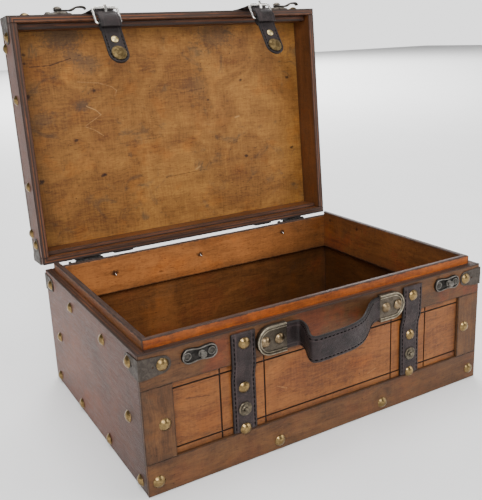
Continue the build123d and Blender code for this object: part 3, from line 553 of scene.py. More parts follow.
# ------------------------------------------------------------------ materials
class Graph:
    """A material's node tree, with short calls for the nodes it is made of."""

    def __init__(self, name, metallic=0.0, specular=0.5):
        self.material = bpy.data.materials.new(name)
        self.material.use_nodes = True
        self.tree = self.material.node_tree
        self.tree.nodes.clear()
        out = self.tree.nodes.new("ShaderNodeOutputMaterial")
        self.shader = self.tree.nodes.new("ShaderNodeBsdfPrincipled")
        self.tree.links.new(self.shader.outputs[0], out.inputs[0])
        self.shader.inputs["Metallic"].default_value = metallic
        self.shader.inputs["Specular IOR Level"].default_value = specular
        self.place = self.node("ShaderNodeTexCoord").outputs["Object"]

    def put(self, socket, value):
        """Links a socket or sets its value; a colour of three numbers gets its fourth."""
        if isinstance(value, bpy.types.NodeSocket):
            self.tree.links.new(value, socket)
        elif value is not None:
            if len(np.shape(value)) == 1 and len(value) == 3 and len(socket.default_value) == 4:
                value = (*value, 1.0)
            socket.default_value = value

    def node(self, kind, *values, **settings):
        """A node with its settings, and its inputs filled in order."""
        n = self.tree.nodes.new(kind)
        for key, value in settings.items():
            setattr(n, key, value)
        for socket, value in zip(n.inputs, values):
            self.put(socket, value)
        return n

    def math(self, operation, a, b=None, clamp=False):
        return self.node("ShaderNodeMath", a, b, operation=operation, use_clamp=clamp).outputs[0]

    def add(self, total, *others):
        for other in others:
            total = self.math("ADD", total, other)
        return total

    def less(self, a, b):
        return self.math("SUBTRACT", a, b)

    def times(self, a, b):
        return self.math("MULTIPLY", a, b)

    def size(self, a):
        return self.math("ABSOLUTE", a)

    def swing(self, noise, gain):
        """A noise of middle 0.5 made to swing about nothing: (noise - 0.5) * gain."""
        return self.times(self.less(noise, 0.5), gain)

    def vector(self, operation, a, b=None):
        return self.node("ShaderNodeVectorMath", a, b, operation=operation).outputs[0]

    def measure(self, operation, a, b=None):
        """The single number of a vector operation, such as a length or a dot product."""
        return self.node("ShaderNodeVectorMath", a, b, operation=operation).outputs["Value"]

    def joined(self, x, y, z):
        return self.node("ShaderNodeCombineXYZ", x, y, z).outputs[0]

    def parts(self, vector):
        return self.node("ShaderNodeSeparateXYZ", vector).outputs

    def scaled(self, vector, factors, shift=(0, 0, 0)):
        """Places times a factor, or one factor for each axis, and then shifted."""
        n = self.node("ShaderNodeMapping", vector)
        n.inputs["Scale"].default_value = factors if hasattr(factors, "__len__") else (factors,) * 3
        n.inputs["Location"].default_value = shift
        return n.outputs[0]

    def noise(self, vector, detail=4.0, rough=0.55, distortion=0.0):
        n = self.node("ShaderNodeTexNoise")
        self.put(n.inputs["Vector"], vector)
        n.inputs["Scale"].default_value = 1.0
        n.inputs["Detail"].default_value = detail
        n.inputs["Roughness"].default_value = rough
        n.inputs["Distortion"].default_value = distortion
        return n.outputs[0]

    def cells(self, vector, scale):
        """Distance to the middle of the nearest cell."""
        n = self.node("ShaderNodeTexVoronoi")
        self.put(n.inputs["Vector"], vector)
        n.inputs["Scale"].default_value = scale
        return n.outputs["Distance"]

    def step(self, value, low, high, to_low=0.0, to_high=1.0):
        """Smooth step from to_low at low to to_high at high."""
        return self.node("ShaderNodeMapRange", value, low, high, to_low, to_high,
                         interpolation_type="SMOOTHSTEP").outputs[0]

    def ramp(self, value, stops):
        """Colours read off straight lines between stops of (where, colour)."""
        n = self.node("ShaderNodeValToRGB", value)
        marks = n.color_ramp.elements
        while len(marks) < len(stops):
            marks.new(0.5)
        for mark, (where, colour) in zip(marks, stops):
            mark.position = where
            mark.color = (*colour, 1.0)
        return n.outputs[0]

    def mix(self, share, a, b, blend="MIX"):
        n = self.node("ShaderNodeMix", data_type="RGBA", blend_type=blend)
        self.put(n.inputs[0], share)
        self.put(n.inputs[6], a)
        self.put(n.inputs[7], b)
        return n.outputs[2]

    def tinted(self, colour, tint):
        return self.mix(1.0, colour, tint, "MULTIPLY")

    def bump(self, height, strength, distance):
        n = self.node("ShaderNodeBump")
        n.inputs["Strength"].default_value = strength
        n.inputs["Distance"].default_value = distance
        self.put(n.inputs["Height"], height)
        return n.outputs[0]

    def finish(self, colour, roughness, normal=None):
        """Hands the looks to the shader and gives the material."""
        self.put(self.shader.inputs["Base Color"], colour)
        self.put(self.shader.inputs["Roughness"], roughness)
        if normal is not None:
            self.put(self.shader.inputs["Normal"], normal)
        return self.material


def share_of(colour, share):
    """A colour made darker or lighter by a share, or by one for each channel."""
    return np.array(colour) * share


def shut_place(g, on_lid):
    """Position in mm, and normal, in the axes of the closed trunk."""
    place = g.place
    normal = g.node("ShaderNodeTexCoord").outputs["Normal"]
    if on_lid:
        turn = g.node("ShaderNodeVectorRotate", place, tuple(PIN * MM), rotation_type="X_AXIS")
        lean = g.node("ShaderNodeVectorRotate", normal, (0, 0, 0), rotation_type="X_AXIS")
        for n in (turn, lean):
            n.inputs["Angle"].default_value = OPEN
        place, normal = turn.outputs[0], lean.outputs[0]
    return g.scaled(place, 1 / MM), normal


def ply_noises(g, moved, axis, clouds):
    """The noises of a board with its grain along axis: long bands, fibres, pores, comb marks across the
    grain, clouds of stain, and flecks."""
    def drawn(vector, along, cross):
        return g.scaled(vector, tuple(along if key == axis else cross for key in "XYZ"))
    bend = g.noise(g.scaled(moved, 0.02), detail=2.0)
    swayed = g.vector("ADD", moved, g.scaled(g.joined(bend, bend, bend), 14))
    return (g.noise(drawn(swayed, 0.007, 0.10), detail=6.0, rough=0.66, distortion=0.7),
            g.noise(drawn(swayed, 0.045, 0.62), detail=6.0, rough=0.70),
            g.noise(drawn(moved, 0.20, 0.95), detail=3.0, rough=0.6),
            g.noise(drawn(moved, 0.62, 0.055), detail=4.0, rough=0.6),
            g.noise(g.scaled(moved, clouds), detail=5.0, rough=0.60, distortion=1.0),
            g.noise(g.scaled(moved, 0.30), detail=4.0, rough=0.7))


def soaked(g, colour, shade, moved, stains):
    """Stain that soaked in: grey-brown patches with ragged rims, and warm ones beside them."""
    grey = g.noise(g.scaled(moved, (0.030, 0.034, 0.034), (11.0, 3.0, 6.0)), detail=6.0, rough=0.68,
                   distortion=0.9)
    colour = g.mix(g.step(grey, 0.55, 0.70, 0.0, stains), colour,
                   g.mix(shade, (0.030, 0.021, 0.013), (0.075, 0.056, 0.036)))
    warm = g.noise(g.scaled(moved, (0.026, 0.030, 0.030), (2.0, 14.0, 9.0)), detail=4.0, rough=0.6)
    return g.mix(g.step(warm, 0.52, 0.68, 0.0, 0.5), colour, g.tinted(colour, (1.22, 0.98, 0.62)))


def red_patches(g, colour, shade, moved, share):
    """Patches where red stain lies thick."""
    patch = g.noise(g.scaled(moved, 0.021, (5.0, 9.0, 2.0)), detail=4.0, rough=0.65)
    return g.mix(g.step(patch, 0.50, 0.64, 0.0, share), colour,
                 g.mix(shade, (0.075, 0.016, 0.008), (0.22, 0.044, 0.013)))


def knotted(g, colour, place, flecks, knots):
    """Round marks of (x, y, z, size, strength): small ones are knots, large ones soaked stains."""
    for x, y, z, size, strength in knots:
        away = g.measure("LENGTH", g.scaled(g.vector("SUBTRACT", place, (x, y, z)), (0.7, 1.0, 1.0)))
        wobble = g.add(away, g.swing(flecks, size * 1.7))
        mark = (0.020, 0.008, 0.005) if size < 5 else (0.050, 0.036, 0.024)
        colour = g.mix(g.times(g.step(wobble, size * 0.30, size, 1.0, 0.0), strength), colour, mark)
    return colour


def cut_distance(g, place, start, stop, waver):
    """Distance to a straight cut from start to stop, made a little unsteady by a noise."""
    start, stop = np.array(start, float), np.array(stop, float)
    run = stop - start
    off = g.vector("SUBTRACT", place, tuple(start))
    share = g.math("ADD", g.measure("DOT_PRODUCT", off, tuple(run / (run @ run))), 0.0, clamp=True)
    along = g.joined(*[g.times(share, k) for k in run])
    return g.add(g.measure("LENGTH", g.vector("SUBTRACT", off, along)), g.swing(waver, 2.6))


def scored(g, colour, place, flecks, cuts):
    """Cuts of (start, stop, width, strength, colour)."""
    for start, stop, width, strength, mark in cuts:
        away = cut_distance(g, place, start, stop, flecks)
        colour = g.mix(g.times(g.step(away, width * 0.3, width, 1.0, 0.0), strength), colour, mark)
    return colour


def rim_plies(g, colour, place, up, fibre, bands, burnt_and_shade):
    """The rim's face shows the plies: stripes read at the distance gone inwards from the outside."""
    x, y, _ = g.parts(place)
    inwards = g.math("MINIMUM", g.less(HALF_W, g.size(x)), g.less(HALF_D, g.size(y)))
    inwards = g.add(inwards, g.swing(fibre, 0.9))
    orange, grey, depth = (0.165, 0.058, 0.024), (0.050, 0.032, 0.027), 14.5
    plies = g.ramp(g.math("DIVIDE", inwards, depth, clamp=True), [
        (0.0, burnt_and_shade), (0.05, burnt_and_shade), (0.07, grey), (0.16, grey), (0.18, orange), (0.25, orange),
        (0.27, burnt_and_shade), (0.31, burnt_and_shade), (0.33, grey), (0.42, orange), (0.49, orange), (0.515, burnt_and_shade),
        (0.55, burnt_and_shade), (0.57, grey), (0.72, orange), (0.80, grey), (0.95, burnt_and_shade)])
    plies = g.mix(g.step(bands, 0.40, 0.60, 0.0, 0.7), plies, share_of(burnt_and_shade, 1.6))
    return g.mix(g.step(g.size(up), 0.5, 0.8), colour, plies)


def edge_distance(g, place, low, high, mirror):
    """Distance in mm to the nearest edge of a board: the middle one of its three distances to the faces."""
    reach = []
    for i, coordinate in enumerate(g.parts(place)):
        value = g.size(coordinate) if (mirror and i == 0) else coordinate
        centre, half = (low[i] + high[i]) / 2, (high[i] - low[i]) / 2
        reach.append(g.math("MAXIMUM", g.less(half, g.size(g.less(value, centre))), 0.0))
    a, b, c = reach
    least = g.math("MINIMUM", g.math("MINIMUM", a, b), c)
    most = g.math("MAXIMUM", g.math("MAXIMUM", a, b), c)
    return g.less(g.less(g.add(a, b, c), least), most)


def burnt_edges(g, colour, place, moved, box, mirror, wear, worn, burnt_and_shade):
    """Edges made dark: a ragged scorched line wear mm wide, and a soft shade six times as wide; rubbed wear
    on most boards, and on the front field, whose box ends at the rails and stiles, partly painted shade in
    the recess along them.
    """
    near = edge_distance(g, place, *box, mirror)
    ragged = g.add(near, g.swing(g.noise(g.scaled(moved, 0.16), detail=5.0, rough=0.75), wear * 2.2))
    line = g.times(g.step(ragged, 0.15 * wear, wear, 1.0, 0.0), worn)
    soft = g.step(near, 0.0, wear * 6.0, 0.34 * worn, 0.0)
    return g.mix(g.math("MAXIMUM", line, soft), colour, burnt_and_shade)


def stained_ply(name, light, dark, axis="X", on_lid=False, box=None, mirror=False, wear=2.6, worn=0.8,
                inside=None, inside_face=None, seed=0.0, blotch=0.5, figure=0.6, shine=0.38, groove=None,
                rim=False, clouds=0.012, knots=(), fade=None, red=None, stains=0.3, cuts=(), top=None,
                hatch=0.16):
    """Stained and varnished plywood, between a dark and a light colour along the grain axis.
    Each look is a layer over the last: the colour of the inside face, soaked stains, a ramp of brightness
    (axis, from, to, and the shares of brightness there) that on the back board and back lip is painted shade
    inside the box, red patches, knots, cuts, specks, the rubbed top, the plies of the rim, the darkened line
    of a groove (axis, place), painted shade in the front field's grooves, darkened edges in the box of the
    board, and pores."""
    burnt_and_shade = wood_set().burnt_and_shade
    fibre_share = 0.46
    g = Graph(name, specular=0.20)
    place, normal = shut_place(g, on_lid)
    moved = g.scaled(place, 1, (seed * 37.0, seed * 53.0, seed * 19.0))
    bands, fibre, dashes, combed, cloud, flecks = ply_noises(g, moved, axis, clouds)
    shade = g.add(g.times(g.step(bands, 0.34, 0.66), figure),
                  g.times(g.step(fibre, 0.34, 0.66), fibre_share),
                  g.times(g.step(cloud, 0.36, 0.64), blotch),
                  g.swing(flecks, 0.9), g.swing(combed, hatch * 4))
    shade = g.math("DIVIDE", shade, figure + fibre_share + blotch, clamp=True)
    colour = g.mix(shade, dark, light)
    facing = dict(zip("XYZ", g.parts(normal)))
    reach = dict(zip("XYZ", g.parts(place)))
    if inside is not None:
        way = facing[inside_face[1]]
        way = way if inside_face[0] == "+" else g.times(way, -1.0)
        colour = g.mix(g.step(way, 0.3, 0.7), colour, g.mix(shade, inside[1], inside[0]))
    colour = soaked(g, colour, shade, moved, stains)
    # a ramp of brightness along an axis; on the back board and back lip it is painted shade inside the box
    if fade is not None:
        key, start, stop, *tints = fade
        colour = g.tinted(colour, g.mix(g.step(reach[key], start, stop), *((tint,) * 3 for tint in tints)))
    if red is not None:
        colour = red_patches(g, colour, shade, moved, red)
    colour = knotted(g, colour, place, flecks, knots)
    colour = scored(g, colour, place, flecks, cuts)
    speck = g.add(g.cells(g.scaled(moved, 0.085), 1.0), g.times(flecks, 0.10))
    colour = g.mix(g.step(speck, 0.075, 0.125, 0.75, 0.0), colour, (0.022, 0.008, 0.005))
    if top is not None:
        worn_top = g.mix(g.step(fibre, 0.36, 0.62), share_of(top, 0.45), top)
        colour = g.mix(g.step(facing["Z"], 0.4, 0.8), colour, worn_top)
    if rim:
        colour = rim_plies(g, colour, place, facing["Z"], fibre, bands, burnt_and_shade)
    # darkens what lies 0.2 to 2 mm behind a face: painted shade in the front field's grooves, and a dark line
    # along the lid panel's edge
    if groove is not None:
        sunk = g.size(g.less(reach[groove[0]], groove[1]))
        colour = g.mix(g.times(g.step(sunk, 0.2, 0.7), g.step(sunk, 1.7, 2.0, 1.0, 0.0)), colour, burnt_and_shade)
    if box is not None:
        colour = burnt_edges(g, colour, place, moved, box, mirror, wear, worn, burnt_and_shade)
    colour = g.mix(g.step(dashes, 0.54, 0.70, 0.0, 0.55), colour, g.tinted(colour, (0.36, 0.30, 0.28)))
    rough = g.add(g.step(fibre, 0.3, 0.7, shine, shine + 0.16), g.times(cloud, 0.10))
    height = g.add(g.times(fibre, 0.8), g.times(g.step(dashes, 0.52, 0.70), -0.7))
    return g.finish(colour, rough, g.bump(height, 0.45, 0.0003))


def leather_material(name, seed=0.0, width=STRAP_W, depth=1.0):
    """Charcoal leather: pebbled grain from two cell patterns, creases, and dyed edges read from the UV, with
    painted shade in the stitch furrow and a painted highlight on a line beside it.
    """
    trim = trim_set()
    base = share_of(trim.leather, depth)
    g = Graph(name, specular=0.22)
    place = g.scaled(g.place, 1 / MM, (seed * 31.0, seed * 17.0, seed * 43.0))
    grain, small = g.cells(place, 0.95), g.cells(place, 2.2)
    crease = g.noise(g.scaled(place, 0.20), detail=7.0, rough=0.70, distortion=1.2)
    cloud = g.noise(g.scaled(place, 0.07), detail=4.0, rough=0.6)
    colour = g.mix(g.step(cloud, 0.34, 0.66), base * 0.55, base * 1.55)
    colour = g.mix(g.step(grain, 0.05, 0.50, 0.6, 0.0), colour, base * 0.35)
    colour = g.mix(g.step(crease, 0.56, 0.72, 0.0, 0.55), colour, base * 3.0)
    surface = g.node("ShaderNodeUVMap", uv_map="surface").outputs[0]
    off = g.times(g.size(g.parts(surface)[1]), 1 / MM)
    rim = g.times(g.step(off, width / 2 - 1.3, width / 2 - 0.2), 0.9)
    # painted shade darkens the stitch furrow, and a painted highlight lightens a line beside it
    furrow = g.step(g.size(g.less(off, width / 2 - 2.6)), 0.25, 0.95, 0.14, 0.0)
    painted_ridge_highlight = g.step(g.size(g.less(off, width / 2 - 4.0)), 0.2, 0.8, 0.34, 0.0)
    for share, dye_and_painted_light in ((rim, trim.edge_dye_and_furrow_shade), (furrow, trim.edge_dye_and_furrow_shade), (painted_ridge_highlight, base * 3.2)):
        colour = g.mix(share, colour, dye_and_painted_light)
    height = g.add(g.times(g.step(grain, 0.0, 0.5), 0.7), g.times(small, 0.35), g.times(crease, 1.2))
    return g.finish(colour, g.step(crease, 0.3, 0.7, 0.58, 0.42), g.bump(height, 0.7, 0.0005))


def metal_material(name, bright, dark, roughness, patina, dents, grain=0.12):
    """Aged metal: tarnish clouds, a fine hammered skin and scattered pits."""
    g = Graph(name, metallic=1.0)
    place = g.scaled(g.place, 1 / MM)
    cloud = g.noise(g.scaled(place, grain * 2), detail=5.0, rough=0.65, distortion=0.6)
    fleck = g.noise(g.scaled(place, 1.3), detail=4.0, rough=0.7)
    skin = g.noise(g.scaled(place, 0.45), detail=2.0)
    share = g.math("ADD", g.step(cloud, 0.36, 0.64), g.times(g.step(fleck, 0.5, 0.75), 0.6), clamp=True)
    colour = g.mix(g.times(share, patina), bright, dark)
    rough = g.add(g.times(share, 0.22 * patina), g.step(fleck, 0.3, 0.7, roughness, roughness + 0.1))
    height = g.add(g.times(skin, 1.0), g.times(fleck, 0.25))
    return g.finish(colour, rough, g.bump(height, dents, 0.0004))


def thread_material():
    """Waxed thread: a twisted strand pattern from slanted waves."""
    thread = trim_set().thread
    g = Graph("waxed thread", specular=0.06)
    wave = g.node("ShaderNodeTexWave", g.scaled(g.place, 900), wave_type="BANDS", bands_direction="DIAGONAL")
    wave.inputs["Scale"].default_value = 1.0
    wave.inputs["Distortion"].default_value = 1.0
    twist = wave.outputs["Fac"]
    colour = g.mix(twist, share_of(thread, 0.6), share_of(thread, 2.2))
    return g.finish(colour, 0.85, g.bump(twist, 0.4, 0.0001))


METALS = {}


def metals():
    """The metal finishes, made once: key, name, bright and tarnished colour, roughness, share of tarnish,
    depth of the dents and, on two of them, how close the clouds lie."""
    t = trim_set()
    if not METALS:
        for key, *finish in (
                ("brass", "antique brass", t.brass, t.brass_dark, 0.18, 0.50, 0.16),
                ("rivet", "rivet bronze", (0.23, 0.165, 0.095), t.brass_dark, 0.26, 0.6, 0.25),
                ("cream", "worn brass", (0.60, 0.47, 0.22), t.brass_dark, 0.34, 0.3, 0.15),
                ("cap_brass", "snap cap brass", (0.165, 0.115, 0.050), (0.070, 0.047, 0.019), 0.50, 0.85,
                 0.25),
                ("gunmetal", "gunmetal", t.gunmetal, (0.030, 0.027, 0.024), 0.30, 0.6, 0.2),
                ("bronze", "dark bronze", (0.112, 0.092, 0.069), (0.045, 0.036, 0.027), 0.36, 0.6, 0.18),
                # the handle caps' raised beads: brighter bronze than the web, rubbed clean and with a painted
                # highlight
                ("bead", "bright bronze", (0.30, 0.26, 0.19), (0.10, 0.085, 0.06), 0.24, 0.6, 0.15),
                ("cast", "cast bronze", (0.20, 0.175, 0.145), (0.040, 0.034, 0.028), 0.34, 0.8, 0.45, 0.22),
                ("stud", "stud bronze", (0.165, 0.138, 0.098), (0.034, 0.028, 0.020), 0.30, 0.7, 0.25),
                ("post", "post steel", (0.19, 0.175, 0.155), (0.05, 0.045, 0.04), 0.30, 0.6, 0.25),
                ("plate", "blackened plate", (0.042, 0.038, 0.035), (0.014, 0.013, 0.012), 0.36, 0.7, 0.3),
                ("pewter", "dull pewter", t.pewter, (0.052, 0.044, 0.038), 0.44, 0.7, 0.25, 0.10),
                ("nickel", "nickel", t.nickel, (0.30, 0.28, 0.26), 0.16, 0.35, 0.12),
                ("black", "blackened iron", (0.045, 0.042, 0.040), (0.015, 0.014, 0.013), 0.42, 0.7, 0.3)):
            METALS[key] = metal_material(*finish)
    return METALS


def dress(node, material):
    """Gives a CAD node one material."""
    data = frame["nodes"][node].data
    data.materials.clear()
    data.materials.append(material)


def shut_box(node):
    """Box of a node in mm in the axes of the closed trunk."""
    data = frame["nodes"][node].data
    places = np.zeros(len(data.vertices) * 3)
    data.vertices.foreach_get("co", places)
    shut = turned(places.reshape(-1, 3) / MM, OPEN)
    return shut.min(0), shut.max(0)


def hook_rise(side):
    """Height of a hook's pivot above the rim of the closed lid, in mm."""
    return float(turned(np.array(JOINTS[side + "_hook_turn"]["pos_m"]) / MM, OPEN)[2] - RIM)


# ------------------------------------------------------------------ operators
def inside_tones(light=1.0, dark=1.0):
    """The light and dark stain of the inside, each times a share; boards inside the box use the shares to
    paint the light and shade that falls on them.
    """
    w = wood_set()
    return share_of(w.inner, light), share_of(w.inner_dark, dark)


def board(node, name, light, dark, axis, on_lid=False, **looks):
    """Dresses a board in its own stained ply, burnt at the edges of its box unless looks names another."""
    looks.setdefault("box", shut_box(node) if on_lid else box_mm(node))
    dress(node, stained_ply(name, light, dark, axis, on_lid, **looks))


class FOOTLOCKER_OT_body_wood(bpy.types.Operator):
    """Stains the boards of the box."""
    bl_idname = "footlocker.body_wood"
    bl_label = "Box boards"

    def execute(self, context):
        w = wood_set()
        brown_top = (0.085, 0.052, 0.042)
        # left and right: the face that looks inwards, the tones inside, the tones of the lip and its knots;
        # on the right the inside and the lip are darkened, painted shade inside the box
        for i, (side, face, tones, lip_tones, knots) in enumerate((
                ("left", "+X", inside_tones(1.0, 1.2), inside_tones(0.95, 0.95), ()),
                ("right", "-X", inside_tones(0.36, 0.36), inside_tones(0.70, 0.72),
                 ((176, 105, 127, 2.6, 0.8), (176, 50, 127, 2.6, 0.8))))):
            board(f"{side}_side_panel", f"{side} flank", w.flank, w.flank_dark, "Y", wear=1.7, worn=0.85,
                  inside=tones, inside_face=face, seed=i + 1, blotch=0.9, figure=0.30, shine=0.34, rim=True,
                  clouds=0.010, fade=("Y", -HALF_D, 60.0, 0.62, 1.08))
            board(f"{side}_lip", f"{side} lip", *lip_tones, "Y", wear=2.2, worn=0.95, seed=i + 3,
                  blotch=0.6, shine=0.42, red=0.5, top=brown_top, knots=knots)
        (z_low, z_high), (x_low, x_high) = FIELD_Z, (-FIELD_X, FIELD_X)
        # the front field: its box ends at the inner edges of the rails and stiles, so its darkened edges are
        # partly wear and partly painted shade in the recess, and its grooves are darkened as painted shade
        board("front_panel", "front field", w.field, w.field_dark, "X", wear=1.6, worn=0.7,
              box=((x_low, -FIELD, z_low), (x_high, 0, z_high)), inside=inside_tones(), inside_face="+Y",
              seed=5.0, blotch=0.55, figure=0.42, groove=("Y", -FIELD), rim=True, shine=0.36, red=0.12,
              stains=0.30, hatch=0.17, cuts=FRONT_CUTS, fade=("X", -150.0, -30.0, 0.90, 1.10))
        # the back board's inside is the inside stain a little darker, and darkened to 0.42 towards the right:
        # painted shade inside the box
        board("back_panel", "back board", w.flank, w.flank_dark, "X", wear=2.0, rim=True, seed=6.0,
              inside=inside_tones(0.82, 0.80), inside_face="-Y", blotch=0.8, red=0.25,
              fade=("X", 0.0, 170.0, 1.0, 0.42))
        # the bottom board is the inside stain at a fifth: painted shade on the floor of the box
        board("bottom_panel", "bottom board", *inside_tones(0.2, 0.24), "X", wear=2.0, worn=0.5, seed=7.0)
        for node, seed, rim, red in (("front_top_rail", 8.0, True, 0.55),
                                     ("front_bottom_rail", 9.0, False, 0.15)):
            board(node, node.replace("_", " "), w.rail, w.rail_dark, "X", wear=1.6, worn=0.75, seed=seed,
                  rim=rim, blotch=0.75, figure=0.5, red=red)
        low, high = box_mm("front_stiles")
        board("front_stiles", "front stiles", w.rail, w.rail_dark, "Z", box=((FIELD_X, low[1], low[2]), high),
              mirror=True, wear=1.4, worn=0.8, seed=10.0, blotch=0.6)
        board("front_lip", "front lip", w.inner, w.inner_dark, "X", wear=2.2, worn=0.85, seed=11.0,
              inside=(w.lip, w.lip_dark), inside_face="-Y", blotch=0.5, shine=0.33, red=0.35,
              top=(0.105, 0.060, 0.046))
        # the back lip is the inside stain made brighter, a painted light on the face that looks forwards, and
        # darkened to half towards the right, painted shade
        board("back_lip", "back lip", *inside_tones(1.62, 2.1), "X", wear=1.8, worn=0.8, seed=12.0,
              blotch=0.5, top=brown_top, fade=("X", 20.0, 165.0, 1.0, 0.50), knots=(
                  (-116.4, 118, 112.5, 4.2, 0.9), (109.5, 118, 121, 3.6, 0.8), (-8.6, 118, 114, 4.2, 0.85),
                  (-60, 118, 103, 2.2, 0.5)))
        return {"FINISHED"}


class FOOTLOCKER_OT_lid_wood(bpy.types.Operator):
    """Stains the boards of the lid."""
    bl_idname = "footlocker.lid_wood"
    bl_label = "Lid boards"

    def execute(self, context):
        w = wood_set()
        reddish = inside_tones((0.62, 0.62, 0.75), (0.7, 0.7, 0.8))
        walls = (("lid_left_wall", "Y", "+X"), ("lid_right_wall", "Y", "-X"), ("lid_front_wall", "X", "+Y"),
                 ("lid_back_wall", "X", "-Y"))
        for i, (node, axis, face) in enumerate(walls):
            board(node, node.replace("_", " "), share_of(w.flank, 0.92), w.flank_dark, axis, on_lid=True,
                  wear=1.6, inside=reddish, inside_face=face, seed=20.0 + i, blotch=0.6, rim=True)
        board("lid_top_panel", "lid panel", w.rail, w.rail_dark, "X", on_lid=True, wear=1.8,
              inside=(w.lining, w.lining_dark), inside_face="-Z", seed=30.0, blotch=0.8, figure=0.34,
              shine=0.42, red=0.08, clouds=0.016, stains=0.62, hatch=0.30, groove=("Z", RIM + LID_H),
              cuts=LID_CUTS, fade=("X", -185.0, -40.0, 0.84, 1.0),
              knots=[(x, y, LINING, size, strength) for x, y, size, strength in LID_KNOTS])
        for i, node in enumerate(("lid_front_batten", "lid_back_batten")):
            board(node, node.replace("_", " "), *reddish, "X", on_lid=True, wear=1.2, seed=33.0 + i,
                  blotch=0.5, rim=True)
        return {"FINISHED"}


class FOOTLOCKER_OT_iron(bpy.types.Operator):
    """Finishes the sheet and turned metal that keeps its shape."""
    bl_idname = "footlocker.iron"
    bl_label = "Sheet metal"

    def execute(self, context):
        for finish, nodes in (("pewter", ("body_corner_brackets", "lid_corner_brackets")),
                              ("black", ("hinge_body_leaves", "hinge_lid_leaves", "hinge_pins")),
                              ("gunmetal", ("body_screws", "hinge_lid_screws")),
                              ("nickel", ("left_buckle_roller", "right_buckle_roller",
                                          "left_buckle_prong", "right_buckle_prong"))):
            for node in nodes:
                dress(node, metals()[finish])
        return {"FINISHED"}


def corner_seats(prefix, height):
    """Seats of the corner brackets' nails, two on each of the four faces."""
    halves = (("front", HALF_W), ("back", HALF_W), ("left", HALF_D), ("right", HALF_D))
    return [seat(prefix + face, sign * (half - CORNER_NAIL), height, SHEET)
            for face, half in halves for sign in (-1, 1)]


class FOOTLOCKER_OT_nails(bpy.types.Operator):
    """Domed nails of the box, its straps and the lid."""
    bl_idname = "footlocker.nails"
    bl_label = "Domed nails"

    def execute(self, context):
        t = trim_set()
        seed = context.scene.footlocker_stage.seed
        flank = ((-46.5, 111), (46.5, 111), (-99, 60.5), (99, 60.5), (-116, 8), (116, 8), (-40, 8), (40, 8))
        front = ((-171, 62.5), (171, 62.5), (-180, 12), (180, 12), (-60.5, 8.8), (60.5, 8.8))
        lid_flank = ((-46.5, 17), (46.5, 17), (-101, 32.5), (101, 32.5))
        columns = (-STRAP_X, STRAP_X)
        body = [seat(side, a, b) for side, _ in SIDES for a, b in flank]
        body += [seat("front", a, b) for a, b in front] + corner_seats("", height=116.0)
        straps = [seat("front", x, z, out) for x in columns
                  for z, out in ((115.4, BODY_LEATHER), (73.0, 0.0), (33.0, 0.0))]
        lid = [seat("lid_" + side, a, b) for side, _ in SIDES for a, b in lid_flank]
        lid += corner_seats("lid_", height=17.0)
        lid += [seat("lid_top", x, y, LID_LEATHER) for x in columns for y in (-88, 0, 88)]
        lid += [seat("lid_back", x, 22, LID_LEATHER) for x in columns]
        profile = dome(t.nail_radius, t.nail_height)
        for i, (name, seats, carrier, node) in enumerate((("body_nail_domes", body, "root", "body_nails"),
                                                          ("strap_nail_domes", straps, "root", "strap_nails"),
                                                          ("lid_nail_domes", lid, "lid", "lid_nails"))):
            domes = revolved(profile, tilted(seats, seed + i), turns=28, lobes=0.012)
            piece(name, domes, metals()["brass"], carrier, replaces=(node,))
        return {"FINISHED"}


def stitched_strap(name, path, thickness, lift, leather, thread, carrier):
    """A leather strap along a path, and a row of stitches, lift mm out from its middle, near each edge."""
    up = across(path, X_AXIS)
    section = leather_section(STRAP_W, thickness)
    piece(f"{name}_leather", [carried(path, X_AXIS, up, section, end_taper(path))], leather, carrier,
          replaces=(name,))
    rows = stitches(path, X_AXIS, up, (-STITCH_X, STITCH_X), lift, trim_set().stitch_pitch)
    piece(f"{name}_stitches", rows, thread, carrier)


class FOOTLOCKER_OT_body_straps(bpy.types.Operator):
    """Leather straps on the front of the box, with their stitching."""
    bl_idname = "footlocker.body_straps"
    bl_label = "Box straps"

    def execute(self, context):
        thread = thread_material()
        # on the field, then over the rail's edge in one soft step
        z = np.linspace(30.3, 125.2, 90)
        share = np.clip((z - 80.0) / 17.5, 0, 1)
        out = FIELD + BODY_LEATHER / 2 + (HALF_D - FIELD) * share * share * (3 - 2 * share)
        for i, (side, sign) in enumerate(SIDES):
            bow = 0.25 * np.sin(z * 0.05 + sign)
            path = dense_ends(points_from(sign * STRAP_X + bow, -out, z))
            leather = leather_material(f"{side} strap leather", seed=i + 1.0)
            stitched_strap(f"{side}_body_strap", path, BODY_LEATHER, 1.12, leather, thread, "root")
        return {"FINISHED"}


def lid_strap_line():
    """(y, z) line of a lid strap's middle, from the closed lid's front rim over the top to its back rim."""
    depth, top, bend = HALF_D + LID_LEATHER / 2, RIM + LID_H + LID_LEATHER / 2, 2
    corner = np.linspace(0, np.pi / 2, 7)
    inwards, rise = bend * (1 - np.cos(corner)), top - bend + bend * np.sin(corner)
    return np.concatenate([
        points_from(-depth, np.linspace(RIM + 6.0, top - bend, 12))[:-1],
        points_from(-depth + inwards, rise),
        points_from(np.linspace(-depth + 2 * bend, depth - 2 * bend, 60), top),
        points_from(depth - inwards[::-1], rise[::-1]),
        points_from(depth, np.linspace(top - 2.5, RIM + 2.6, 12))])


class FOOTLOCKER_OT_lid_straps(bpy.types.Operator):
    """Leather straps round the lid, with their stitching."""
    bl_idname = "footlocker.lid_straps"
    bl_label = "Lid straps"

    def execute(self, context):
        thread = thread_material()
        for i, (side, sign) in enumerate(SIDES):
            path = opened(dense_ends(points_from(sign * STRAP_X, *lid_strap_line().T)))
            leather = leather_material(f"{side} lid strap leather", seed=i + 3.0)
            stitched_strap(f"{side}_lid_strap", path, LID_LEATHER, 0.85, leather, thread, "lid")
        return {"FINISHED"}


